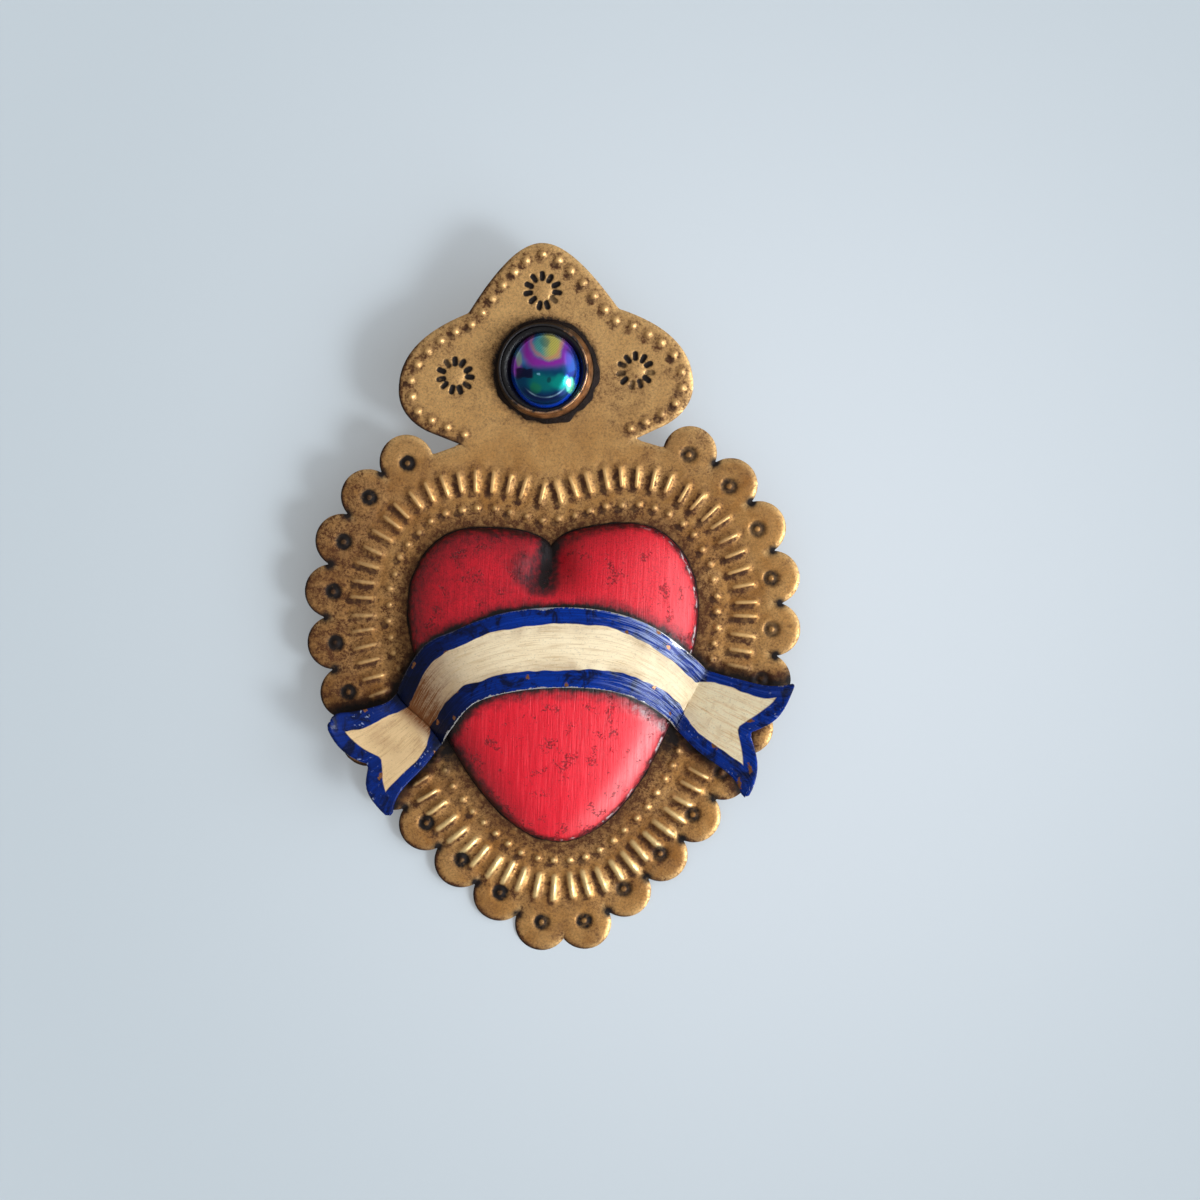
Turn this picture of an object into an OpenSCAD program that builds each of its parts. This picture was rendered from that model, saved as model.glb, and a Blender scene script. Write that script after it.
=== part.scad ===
// Milagro charm: a punched tin plate with a painted heart, a ribbon banner and a glass gem
// Drawn flat in the sheet's own plane first, then leaned back on its hanging strap.
// Sheet plane: X to the right, Y up to the crown, Z out of the decorated front, millimetres.

/* [Sheet] */
// Width over the widest scallops
plate_w = 105.6; // [85:0.2:135]
// Height from the lowest scallop to the crown tip
plate_h = 151.4; // [120:0.2:190]
// Thickness of the tin sheet, used for the plate, heart and banner
sheet_t = 0.4; // [0.3:0.05:0.6]

/* [Scallops] */
// Number of scallops on each side
scallops = 12; // [8:1:16]
// How far each round scallop laps past half the pitch, which sets the depth of the cusps
scallop_lap = 0.21; // [0.1:0.01:0.6]
// Radius of the small round cut at each cusp
cusp_r = 0.55; // [0.3:0.05:0.9]
// Ring punch radius at the middle of its groove
ring_r = 1.25; // [0.9:0.05:2]
// Depth of the ring punch groove
ring_depth = 0.22; // [0.1:0.02:0.3]

/* [Punched beads] */
// Radius of a punched bead where it leaves the sheet
bead_r = 0.95; // [0.6:0.05:1.4]
// Height of a punched bead above the sheet
bead_h = 0.6; // [0.3:0.05:0.9]
// Spacing of the beads round the heart
bead_pitch = 3.5; // [3:0.1:5]
// Distance of the bead row from the heart
bead_off = 4.2; // [3:0.1:6]
// Spacing of the beads round the crown
crown_bead_pitch = 3.6; // [3:0.1:5]
// Distance of the crown beads from the crown edge
crown_bead_inset = 2.45; // [1.8:0.05:4]

/* [Chiselled ribs] */
// Length of a rib
rib_l = 5.2; // [3:0.1:7]
// Width of a rib
rib_w = 1.3; // [0.8:0.1:2]
// Height of a rib above the sheet
rib_h = 0.7; // [0.3:0.05:1]
// Spacing of the ribs
rib_pitch = 3.5; // [3:0.1:5]
// Distance from the heart to the middle of the ribs
rib_off = 10; // [8:0.1:12]

/* [Rosettes] */
// Number of oval dents in a rosette
petals = 11; // [7:1:14]
// Radius of the ring the dents stand on
rosette_r = 3.05; // [2.2:0.05:4]
// Length of one dent
petal_l = 1.8; // [1:0.05:2.4]
// Width of one dent
petal_w = 1; // [0.6:0.05:1.4]
// Depth of one dent
petal_depth = 0.26; // [0.1:0.02:0.35]
// Radius of the boss inside the ring of dents
boss_r = 1.9; // [1:0.05:2.2]
// Height of the boss
boss_h = 0.3; // [0.1:0.02:0.5]

/* [Heart] */
// Height of the domed heart
heart_h = 10; // [7:0.1:14]
// How deep the valley under the cleft cuts into the dome, as a share of its height
cleft_cut = 0.6; // [0.2:0.05:0.8]

/* [Banner] */
// Room left between the dome and the banner
banner_gap = 0.4; // [0.2:0.05:1]
// Height of the creases above the sheet, on top of the beads they cross
crease_rise = 0.15; // [0.05:0.05:0.6]
// How far the swallow tails lift off the plate
tail_rise = 7; // [3:0.1:11]

/* [Gem and bezel] */
// Diameter of the glass gem
gem_d = 15.4; // [11:0.1:18]
// Height of the gem's dome above its girdle
gem_dome = 4; // [2.5:0.1:6]
// Height of the gem's widest ring above the sheet
girdle = 2.4; // [1.8:0.1:3]
// Glue between the gem and the floor of the bezel cup
glue = 0.2; // [0.1:0.05:0.5]
// Width of the dark bedding round the gem at the bezel's mouth
bed_w = 1.55; // [0.8:0.05:2.5]
// How much the bezel wall leans in from foot to rim
bezel_taper = 0.75; // [0.3:0.05:1.5]
// Height of the bezel wall
bezel_h = 3.2; // [2:0.1:4.5]
// Thickness of the bezel metal
bezel_t = 0.45; // [0.3:0.05:0.7]

/* [Hanging strap] */
// How far the strap stands off the back of the plate
strap_off = 9.5; // [6:0.1:14]
// Width of the strap
strap_w = 7; // [4:0.1:10]
// Thickness of the strap
strap_t = 0.6; // [0.4:0.05:1]
// Half length of the strap's flat bridge
strap_bridge = 6.5; // [5:0.1:9]
// How far each leg of the strap spreads from the bridge to its foot
strap_spread = 2.6; // [1:0.1:4]
// Length of each soldered foot
strap_foot = 5; // [3:0.1:7]

/* [Solder] */
// Width of the seam round the heart
heart_seam_w = 0.6; // [0.3:0.05:1]
// Height of the seam round the heart
heart_seam_h = 0.45; // [0.2:0.05:0.6]
// Width of the fillet round the bezel
bezel_seam_w = 0.95; // [0.4:0.05:1.5]
// Height of the fillet round the bezel
bezel_seam_h = 0.85; // [0.4:0.05:1.5]
// Width of the bar under each banner crease
crease_bar_w = 1; // [0.6:0.05:1.6]
// Length of the fillet at each end of the strap
strap_seam_l = 1.2; // [0.5:0.1:2]

/* [Hidden] */
$fn = 64;
eps = 0.1;
// Scale from the drawn outline to the wanted width and height
kx = plate_w / 105.6;
ky = plate_h / 151.4;
gem_y = 57.1 * ky;
strap_y = 46 * ky;
crown_y = 84 * ky;
bezel_r = gem_d / 2 + bed_w + bezel_t + bezel_taper;
rim_r = bezel_r - bezel_taper;
strap_span = strap_bridge + strap_spread;
heart_c = [0, -4 * ky];
crease_z = sheet_t + bead_h + crease_rise;

// Curves
function bez(s, t) = pow(1 - t, 3) * s[0] + 3 * t * pow(1 - t, 2) * s[1]
    + 3 * t * t * (1 - t) * s[2] + pow(t, 3) * s[3];
function fit(p) = [p[0] * kx, p[1] * ky];
function fit_all(s) = [for (p = s) fit(p)];
function curve(segs, n) = concat(
    [for (s = segs, i = [0:n - 1]) bez(fit_all(s), i / n)],
    [fit(segs[len(segs) - 1][3])]
);
function unit(v) = v / norm(v);
function perp(v) = [v[1], -v[0]];
function pick(p, i) = p[max(0, min(len(p) - 1, i))];
function side(p, i) = unit(perp(pick(p, i + 1) - pick(p, i - 1)));
function shifted(p, d) = [for (i = [0:len(p) - 1]) p[i] + d * side(p, i)];
function step_x(p, i) = pick(p, i + 1)[0] - pick(p, i - 1)[0];
function even_side(p, i) = abs(p[i][0]) < 0.01 ? [0, -sign(step_x(p, i))] : side(p, i);
function row(p, d) = [for (i = [0:len(p) - 1]) p[i] + d * even_side(p, i)];
function lengths(p) = [
    for (i = 0, a = 0; i < len(p); i = i + 1, a = a + norm(pick(p, i) - p[i - 1])) a
];
function along(p, c, s) = [
    lookup(s, [for (i = [0:len(p) - 1]) [c[i], p[i][0]]]),
    lookup(s, [for (i = [0:len(p) - 1]) [c[i], p[i][1]]])
];
function heading(p, c, s) = unit(along(p, c, s + 0.4) - along(p, c, s - 0.4));
function flip(p) = [for (i = [len(p) - 1:-1:0]) [-p[i][0], p[i][1]]];
function angle_of(v) = atan2(v[1], v[0]);

// Right half of each outline, as cubic curves
scallop_segs = [
    [[0, -65], [47.6, -35.5], [65.3, 23.2], [25.3, 41.2]],
];
crown_segs = [
    [[0, 84], [4.5, 84], [9.5, 79.2], [15.9, 69.7]],
    [[15.9, 69.7], [22.5, 67.3], [31, 63], [31.3, 54]],
    [[31.3, 54], [31.6, 49.5], [28.5, 46.2], [24.6, 44.5]],
    [[24.6, 44.5], [22.6, 43.7], [20.7, 42.8], [18.7, 42]],
];
lobe_seg = [[16, 24.1], [25, 24.1], [31, 16.5], [31, 6]];
flank_seg = [[31, 6], [31, -8], [11, -44], [0, -44]];
heart_segs = [
    [[0, 19.4], [1.5, 22.8], [8.5, 24.1], [16, 24.1]],
    lobe_seg,
    flank_seg,
];
ring_segs = [
    [[0, 21], [5, 21], [10, 24.1], [16, 24.1]],
    lobe_seg,
    flank_seg,
];
scallop_path = curve(scallop_segs, 120);
scallop_len = lengths(scallop_path);
scallop_pitch = scallop_len[120] / scallops;
crown_path = curve(crown_segs, 12);
heart_half = curve(heart_segs, 11);
heart_loop = concat(heart_half, [for (i = [1:len(heart_half) - 2]) flip(heart_half)[i]]);

// Places along the outlines
function scallop_at(i) = along(scallop_path, scallop_len, (i + 0.5) * scallop_pitch);
function scallop_out(i) = perp(heading(scallop_path, scallop_len, i * scallop_pitch));
scallop_r = scallop_pitch / 2 + scallop_lap;
scallop_reach = sqrt(pow(scallop_r, 2) - pow(scallop_pitch / 2, 2));

// How the charm lies: lowest scallops on the floor, hanging strap on the floor behind the neck
bottom_y = scallop_at(0)[1] - scallop_r;
lean = atan(strap_off / (strap_y - strap_w / 2 - bottom_y));
shift_y = -((crown_y - bottom_y) * cos(lean) - sheet_t * sin(lean)) / 2;

module both() {
    children();
    mirror([1, 0, 0]) children();
}

// Stands its children along a half path and its mirror image
module spaced(p, pitch, first) {
    c = lengths(p);
    span = c[len(c) - 1] - 2 * first;
    n = round(span / pitch);
    for (i = [0:n]) {
        s = first + i * span / n;
        q = along(p, c, s);
        a = angle_of(perp(heading(p, c, s)));
        if (q[0] > 0.2) {
            both() translate([q[0], q[1], 0]) rotate([0, 0, a]) children();
        } else {
            translate([q[0], q[1], 0]) rotate([0, 0, a]) children();
        }
    }
}

// Round pushed-out bead with a flat foot
module cap(r, h, foot) {
    big = (r * r + h * h) / (2 * h);
    rotate_extrude() intersection() {
        translate([0, h - big]) circle(big);
        translate([0, -foot]) square([2 * r, h + foot]);
    }
}

// Chisel mark: a ridge with sloping sides and ends
module tent(l, w, h) {
    a = l / 2;
    b = l * 0.34;
    c = l * 0.3;
    polyhedron(
        points = [
            [-a, 0, 0], [-b, -w / 2, 0], [b, -w / 2, 0], [a, 0, 0],
            [b, w / 2, 0], [-b, w / 2, 0], [-c, 0, h], [c, 0, h]
        ],
        faces = [
            [0, 1, 2, 3, 4, 5], [1, 0, 6], [2, 1, 6, 7], [3, 2, 7],
            [4, 3, 7], [5, 4, 7, 6], [0, 5, 6]
        ]
    );
}

// Tent whose stated size holds at the face of the sheet, sunk half a sheet into it
module sunk_tent(l, w, h) {
    k = (h + sheet_t / 2) / h;
    tent(l * k, w * k, h + sheet_t / 2);
}

module plate_outline() {
    half = concat([for (i = [0:3:120]) scallop_path[i]], [fit([24.5, 40]), fit([18.7, 41.9])]);
    crown = concat(crown_path, [fit([12, 30])]);
    difference() {
        union() {
            polygon(concat(half, flip(half)));
            polygon(concat(crown, flip(crown)));
            both() {
                for (i = [0:scallops - 1]) translate(scallop_at(i)) circle(scallop_r);
            }
        }
        both() {
            for (i = [1:scallops - 1]) {
                q = along(scallop_path, scallop_len, i * scallop_pitch);
                translate(q + (scallop_reach - 0.3) * scallop_out(i)) circle(cusp_r);
            }
        }
    }
}

module bead_rows() {
    spaced(row(curve(ring_segs, 24), -bead_off), bead_pitch, bead_pitch / 2) children();
    spaced(row(crown_path, crown_bead_inset), crown_bead_pitch, 0) children();
}

module rib_row() {
    spaced(row(curve(ring_segs, 24), -rib_off), rib_pitch, rib_pitch / 2) children();
}

module at_scallops() {
    both() {
        for (i = [0:scallops - 1]) {
            translate(scallop_at(i) * 0.992) children();
        }
    }
}

// Round groove of a ring punch, as a turned profile
module ring_groove() {
    rotate_extrude() translate([ring_r, ring_depth * 0.9]) circle(ring_depth * 1.9);
}

// Ridge that the ring punch raises on the back, with a flat top sunk in the sheet
module ring_ridge() {
    rotate_extrude() intersection() {
        translate([ring_r, ring_depth * 0.9]) circle(ring_depth * 1.9 + sheet_t);
        translate([0, -sheet_t - 1]) square([2 * ring_r + 2, 1 + sheet_t / 2]);
    }
}

module rosette_centres() {
    for (c = [[0, 73.9], [-19.15, 56.5], [19.15, 56.5]]) {
        translate(fit(c)) children();
    }
}

module rosettes() {
    rosette_centres() for (i = [0:petals - 1]) {
        rotate([0, 0, 90 + i * 360 / petals]) translate([rosette_r, 0, 0]) children();
    }
}

// The tin plate, one sheet with every bead, rib and punch in it
module plate_flat() {
    difference() {
        union() {
            linear_extrude(height = sheet_t) plate_outline();
            translate([0, 0, sheet_t]) bead_rows() cap(bead_r, bead_h, sheet_t / 2);
            translate([0, 0, sheet_t / 2]) rib_row() sunk_tent(rib_l, rib_w, rib_h);
            translate([0, 0, sheet_t]) at_scallops() ring_ridge();
            translate([0, 0, sheet_t]) rosette_centres() cap(boss_r, boss_h, sheet_t / 2);
        }
        bead_rows() cap(bead_r - sheet_t * 0.6, bead_h, sheet_t / 2);
        translate([0, 0, -sheet_t / 2]) rib_row() sunk_tent(rib_l, rib_w, rib_h);
        rosette_centres() cap(boss_r - sheet_t * 0.6, boss_h, sheet_t / 2);
        translate([0, 0, sheet_t]) at_scallops() ring_groove();
        translate([0, 0, sheet_t]) rosettes() dent(petal_l, petal_w, petal_depth);
    }
}

// Oval dent cut into the face of the sheet
module dent(l, w, d) {
    k = (d + eps) / d;
    translate([0, 0, eps]) rotate([180, 0, 0]) tent(l * k, w * k, d + eps);
}

// Heart dome
polar = [for (p = heart_half) [angle_of(p - heart_c), norm(p - heart_c)]];
function edge_reach(x, y) = lookup(angle_of([abs(x), y] - heart_c), polar);
function share(x, y) = min(1, norm([abs(x), y] - heart_c) / edge_reach(x, y));
function ease(v) = let (c = max(0, min(1, v))) c * c * (3 - 2 * c);
function valley(x, y) = 1 - cleft_cut * exp(-pow(x / (4.3 * kx), 2))
    * ease((y - 6.5 * ky) / (12.9 * ky));
function swell(f) = pow(1 - pow(f, 2.4), 0.56);
function dome(x, y) = heart_h * swell(share(x, y)) * valley(x, y);
steps = [1, 0.988, 0.965, 0.93, 0.87, 0.79, 0.68, 0.54, 0.37, 0.18];
function ring_point(p, f, t) = let (
    v = p - heart_c,
    q = heart_c + v * (1 - t / norm(v)) * f,
    s = heart_h - t
) [q[0], q[1], s * swell(f) * valley(heart_c[0] + v[0] * f, heart_c[1] + v[1] * f)];

module heart_dome() {
    n = len(heart_loop);
    m = len(steps);
    outer = [for (f = steps, p = heart_loop) ring_point(p, f, 0)];
    inner = [for (f = steps, p = heart_loop) ring_point(p, f, sheet_t * 1.1)];
    peak = [[heart_c[0], heart_c[1], heart_h], [heart_c[0], heart_c[1], heart_h - sheet_t]];
    k = n * m;
    up = [for (j = [0:m - 2], i = [0:n - 1], h = [0, 1]) let (
        a = j * n + i, b = j * n + (i + 1) % n
    ) h == 0 ? [a, b, b + n] : [a, b + n, a + n]];
    under = [for (q = up) [q[0] + k, q[2] + k, q[1] + k]];
    crest = [for (i = [0:n - 1]) [k - n + i, k - n + (i + 1) % n, 2 * k]];
    roof = [for (i = [0:n - 1]) [2 * k - n + (i + 1) % n, 2 * k - n + i, 2 * k + 1]];
    rim = [for (i = [0:n - 1], h = [0, 1]) let (
        a = i, b = (i + 1) % n
    ) h == 0 ? [b, a, a + k] : [b, a + k, b + k]];
    color("#b3202a") seated() translate([0, 0, sheet_t]) polyhedron(
        points = concat(outer, inner, peak),
        faces = concat(up, under, crest, roof, rim)
    );
}

// Solder seam round the foot of the heart
module heart_solder() {
    n = len(heart_loop);
    out = [for (i = [0:n - 1]) let (
        d = unit(perp(heart_loop[(i + 1) % n] - heart_loop[(i + n - 1) % n]))
    ) heart_loop[i] - heart_seam_w * d];
    points = concat(
        [for (p = heart_loop) [p[0], p[1], 0]],
        [for (p = out) [p[0], p[1], 0]],
        [for (p = heart_loop) [p[0], p[1], heart_seam_h]]
    );
    faces = [for (i = [0:n - 1], g = [0:2], h = [0, 1]) let (
        a = g * n + i, b = g * n + (i + 1) % n,
        c = ((g + 1) % 3) * n + i, d = ((g + 1) % 3) * n + (i + 1) % n
    ) h == 0 ? [a, b, d] : [a, d, c]];
    color("#8c8f92") seated() translate([0, 0, sheet_t]) polyhedron(points = points, faces = faces);
}

// Banner: two edge curves over the dome, then a swallow tail on each side
band_top = [[0, 7.5], [17, 7.5], [25.6, 1.2], [32.1, -8.2]];
band_low = [[0, -9.5], [13, -9.5], [20, -12.5], [25.2, -20]];
tail_top = [[32.1, -8.2], [36.6, -11.2], [43.6, -12.9], [50.2, -12.2]];
tail_low = [[25.2, -20], [29, -23], [36, -27.5], [38.4, -35.6]];
tail_v = [39.9, -21.2];
over = 14;
beyond = 6;
function edges(u) = u <= 1
    ? [bez(fit_all(band_top), u), bez(fit_all(band_low), u)]
    : [bez(fit_all(tail_top), u - 1), bez(fit_all(tail_low), u - 1)];
function tall(e) = max([for (w = [0:0.125:1]) let (p = e[0] * (1 - w) + e[1] * w) dome(p[0], p[1])]);
over_u = [for (i = [0:over]) 1 - pow(1 - i / over, 1.25)];
over_z = [for (u = over_u) let (h = tall(edges(u))) max(crease_z, h > 0 ? sheet_t + banner_gap + h : 0)];
taut_z = [for (j = [0:over]) j == over
    ? crease_z
    : max([for (i = [0:j], k = [j:over]) let (z = k == over ? crease_z : over_z[k]) i == k
        ? over_z[j]
        : over_z[i] + (z - over_z[i]) * (over_u[j] - over_u[i]) / (over_u[k] - over_u[i])])];
half_u = concat(over_u, [for (i = [1:beyond]) 1 + i / beyond]);
half_z = concat(taut_z, [for (i = [1:beyond]) crease_z + tail_rise * pow(i / beyond, 1.15)]);
half_rows = [for (i = [0:len(half_u) - 1]) let (e = edges(half_u[i])) [
    [e[0][0], e[0][1], half_z[i]], [e[1][0], e[1][1], half_z[i]]
]];
function turned(r) = [[-r[0][0], r[0][1], r[0][2]], [-r[1][0], r[1][1], r[1][2]]];
rows = concat([for (i = [len(half_rows) - 1:-1:1]) turned(half_rows[i])], half_rows);
function row_mid(i) = (pick(rows, i)[0] + pick(rows, i)[1]) / 2;
function row_up(i) = let (
    v = cross(row_mid(i + 1) - row_mid(i - 1), rows[i][0] - rows[i][1])
) unit(v);

module banner_sheet() {
    n = len(rows);
    points = [for (i = [0:n - 1], k = [0:3]) let (up = row_up(i) * sheet_t) k == 0
        ? rows[i][0]
        : k == 1 ? rows[i][1] : k == 2 ? rows[i][1] + up : rows[i][0] + up];
    sides = [for (i = [0:n - 2], k = [0:3], h = [0, 1]) let (
        a = 4 * i + k, b = 4 * i + (k + 1) % 4
    ) h == 0 ? [a, b, b + 4] : [a, b + 4, a + 4]];
    ends = [[3, 2, 1, 0], [4 * n - 4, 4 * n - 3, 4 * n - 2, 4 * n - 1]];
    polyhedron(points = points, faces = concat(sides, ends));
}

module banner() {
    v = fit(tail_v);
    a = fit(tail_top[3]);
    b = fit(tail_low[3]);
    away = unit(perp(a - b)) * 4;
    color("#e1cda6") seated() difference() {
        banner_sheet();
        both() translate([0, 0, -5]) linear_extrude(height = 40) polygon([
            v, b, b + away, a + away, a
        ]);
    }
}

// Solder under each crease, from the sheet to the underside of the banner
module crease_solder() {
    a = fit(tail_top[0]);
    b = fit(tail_low[0]);
    mid = a * 0.5 + b * 0.5;
    long = norm(a - b) * 0.7;
    translate([mid[0], mid[1], sheet_t]) rotate([0, 0, angle_of(a - b)])
        translate([-long / 2, -crease_bar_w / 2, 0]) cube([long, crease_bar_w, crease_z - sheet_t]);
}

module banner_solder_left() {
    color("#8c8f92") seated() difference() {
        mirror([1, 0, 0]) crease_solder();
        crossed_features();
    }
}

module banner_solder_right() {
    color("#8c8f92") seated() difference() {
        crease_solder();
        crossed_features();
    }
}

// Beads that stand under the creases, cut out of the solder
module crossed_features() {
    translate([0, 0, sheet_t]) bead_rows() cap(bead_r, bead_h, sheet_t / 2);
}

// Bezel
module at_gem() {
    seated() translate([0, gem_y, sheet_t]) children();
}

module bezel_profile() {
    polygon([
        [0, 0], [bezel_r, 0], [rim_r, bezel_h], [rim_r - bezel_t, bezel_h],
        [bezel_r - bezel_t - 0.15, bezel_t], [0, bezel_t]
    ]);
    translate([rim_r - bezel_t / 2, bezel_h]) circle(bezel_t * 0.75);
}

module bezel_collar() {
    color("#9a6b45") at_gem() rotate_extrude() bezel_profile();
}

module bezel_solder() {
    lip = bezel_taper * bezel_seam_h / bezel_h;
    color("#55504d") at_gem() rotate_extrude() polygon([
        [bezel_r, 0], [bezel_r + bezel_seam_w, 0], [bezel_r - lip, bezel_seam_h]
    ]);
}

module gem_profile() {
    r = gem_d / 2;
    big = (r * r + gem_dome * gem_dome) / (2 * gem_dome);
    base = bezel_t + glue;
    intersection() {
        translate([0, girdle + gem_dome - big]) circle(big);
        polygon([[0, base], [r * 0.8, base], [r, base + 1.1], [r, 12], [0, 12]]);
    }
}

module gem() {
    color("#1f6f9a") at_gem() rotate_extrude() gem_profile();
}

// Dark bedding that fills the cup round the gem
module gem_bed() {
    g = gem_d / 2;
    color("#1b1a1c") at_gem() rotate_extrude() difference() {
        polygon([
            [0, eps], [bezel_r - bezel_t, eps], [rim_r, bezel_h - 0.5],
            [g + bed_w * 0.92, bezel_h - 0.1], [g + bed_w * 0.72, bezel_h + 0.12],
            [g + bed_w * 0.48, bezel_h + 0.08], [g + bed_w * 0.24, bezel_h - 0.18],
            [g - 0.05, girdle - 0.05], [0, girdle - 0.05]
        ]);
        bezel_profile();
        gem_profile();
    }
}

// Hanging strap
module strap_profile() {
    outer = [
        [strap_span + strap_foot, 0], [strap_span + strap_foot, -strap_t],
        [strap_span + strap_t * 0.8, -strap_t], [strap_bridge, -strap_off]
    ];
    inner = [[strap_bridge - strap_t * 0.75, strap_t - strap_off], [strap_span, 0]];
    polygon(concat(
        outer, flip(outer), flip(inner), inner
    ));
}

module hanging_strap() {
    color("#8c8f92") seated() translate([0, strap_y + strap_w / 2, 0]) rotate([90, 0, 0])
        linear_extrude(height = strap_w) strap_profile();
}

module strap_solder() {
    x = strap_span + strap_foot;
    translate([0, strap_y + strap_w / 2, 0]) rotate([90, 0, 0])
        linear_extrude(height = strap_w) polygon([[x, 0], [x, -strap_t], [x + strap_seam_l, 0]]);
}

module strap_solder_left() {
    color("#8c8f92") seated() mirror([1, 0, 0]) strap_solder();
}

module strap_solder_right() {
    color("#8c8f92") seated() strap_solder();
}

// Leans the finished charm back on its strap, with the lowest scallops on the floor
module seated() {
    translate([0, shift_y, 0]) rotate([lean, 0, 0]) translate([0, -bottom_y, 0]) children();
}

module back_plate() {
    color("#a57d46") seated() plate_flat();
}

back_plate();
heart_dome();
heart_solder();
banner();
banner_solder_left();
banner_solder_right();
bezel_collar();
bezel_solder();
gem();
gem_bed();
hanging_strap();
strap_solder_left();
strap_solder_right();
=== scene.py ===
"""Looks of a hand-made tin milagro: punched heart plate, painted heart, ribbon and glass gem.

Every shape is drawn in the sheet's own flat plane in millimetres, as the maker would cut it,
and then seated: leaned back on the hanging strap, in metres, in the CAD model's frame.
"""

import logging
import math
from dataclasses import dataclass
from enum import Enum
from typing import Callable, ClassVar, Dict, List, Optional, Sequence, Tuple

import bpy
import numpy as np
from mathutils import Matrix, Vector


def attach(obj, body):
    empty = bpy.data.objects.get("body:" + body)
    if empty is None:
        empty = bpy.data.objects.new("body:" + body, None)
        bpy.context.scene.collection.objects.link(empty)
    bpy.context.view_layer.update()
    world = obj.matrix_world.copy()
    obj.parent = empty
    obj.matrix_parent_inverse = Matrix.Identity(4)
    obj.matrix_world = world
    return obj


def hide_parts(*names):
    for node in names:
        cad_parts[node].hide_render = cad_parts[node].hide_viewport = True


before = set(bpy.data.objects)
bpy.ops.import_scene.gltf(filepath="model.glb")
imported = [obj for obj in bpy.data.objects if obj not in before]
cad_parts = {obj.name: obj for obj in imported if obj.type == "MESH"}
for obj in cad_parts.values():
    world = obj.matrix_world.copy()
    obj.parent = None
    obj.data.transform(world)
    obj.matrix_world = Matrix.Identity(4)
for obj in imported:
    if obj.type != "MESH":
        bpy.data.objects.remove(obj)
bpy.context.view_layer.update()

LOG = logging.getLogger("milagro")

Array = np.ndarray
Socket = bpy.types.NodeSocket
Node = bpy.types.Node
NodeTree = bpy.types.NodeTree
Material = bpy.types.Material
Object = bpy.types.Object
Colour = Tuple[float, float, float, float]
Spot = Tuple[float, float]
Curve = Tuple[Spot, Spot, Spot, Spot]

MM = 0.001  # a millimetre in metres
PER_METRE = 1000.0  # millimetres in a metre
SHEET = 0.4  # thickness of the tin, in millimetres
FLIP = np.array([-1.0, 1.0])  # mirrors a point of the sheet, left to right
TINY = 1e-12  # keeps a division from dividing by nothing
BATCH = 20000  # points measured at a time, to bound the memory


def srgb(r: float, g: float, b: float) -> Colour:
    """Turns a colour read off a screen, 0 to 255, into the linear colour a shader takes.

    Args:
        r: Red, 0 to 255.
        g: Green, 0 to 255.
        b: Blue, 0 to 255.

    Returns:
        Linear red, green, blue and an alpha of 1.
    """
    def one(c: float) -> float:
        """One channel, display to linear."""
        c = c / 255.0
        return c / 12.92 if c <= 0.04045 else ((c + 0.055) / 1.055) ** 2.4

    return (one(r), one(g), one(b), 1.0)


# Drawing in the flat sheet


@dataclass(frozen=True)
class Seat:
    """How the finished sheet lies: lowest scallops and strap on the floor.

    Attributes:
        lean: Angle of the sheet to the floor, in radians.
        shift_y: Place of the lowest scallop along Y, in millimetres.
        bottom_y: The lowest scallop's place in the sheet's own plane.
    """

    lean: float = math.radians(4.92621)
    shift_y: float = -75.5628
    bottom_y: float = -67.7203

    def place(self, pts: Array) -> Array:
        """Moves flat-sheet points to where they stand.

        Args:
            pts: Points in the sheet's frame, in millimetres, one a row.

        Returns:
            The same points in the row frame, in metres.
        """
        c, s = math.cos(self.lean), math.sin(self.lean)
        y = pts[:, 1] - self.bottom_y
        z = pts[:, 2]
        return np.stack([pts[:, 0], self.shift_y + y * c - z * s, y * s + z * c], axis=1) * MM


SEAT = Seat()


def bezier(ctrl: Sequence[Sequence[float]], t: Array) -> Array:
    """Points of a cubic curve.

    Args:
        ctrl: Its four control points.
        t: Where along it, 0 to 1.

    Returns:
        One point a row.
    """
    t = np.asarray(t, float)[:, None]
    c = np.asarray(ctrl, float)
    return (
        (1 - t) ** 3 * c[0] + 3 * t * (1 - t) ** 2 * c[1] + 3 * t * t * (
            1 - t) * c[2] + t ** 3 * c[3])


def chain(segs: Sequence[Sequence[Sequence[float]]], n: int) -> Array:
    """Joins cubic curves end to end.

    Args:
        segs: The curves' control points.
        n: Steps in each curve.

    Returns:
        The points of the whole line.
    """
    parts = [bezier(s, np.linspace(0, 1, n, endpoint=False)) for s in segs]
    return np.concatenate(parts + [np.asarray([segs[-1][3]], float)])


def ease(t: Array) -> Array:
    """Smooth step of values from 0 to 1."""
    return t * t * (3 - 2 * t)


def right_half(p: Array) -> Array:
    """Folds points onto the right half of the sheet."""
    return np.stack([np.abs(p[:, 0]), p[:, 1]], axis=1)


def raised(p: Array, z: object = 0.0) -> Array:
    """Flat points with a height, one for all or one for each."""
    return np.column_stack([p, np.broadcast_to(np.asarray(z, float), (len(p),))])


def both_sides(half: Array) -> Array:
    """Closes a right half that starts and ends on the mirror line."""
    return np.concatenate([half, half[1:-1][::-1] * FLIP])


def mirrored_loop(half: Array) -> Array:
    """Closes a right-hand half outline with its mirror image."""
    inner = half[(half[:, 0] > 1e-6)]
    return np.concatenate([half, inner[::-1] * FLIP])


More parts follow.
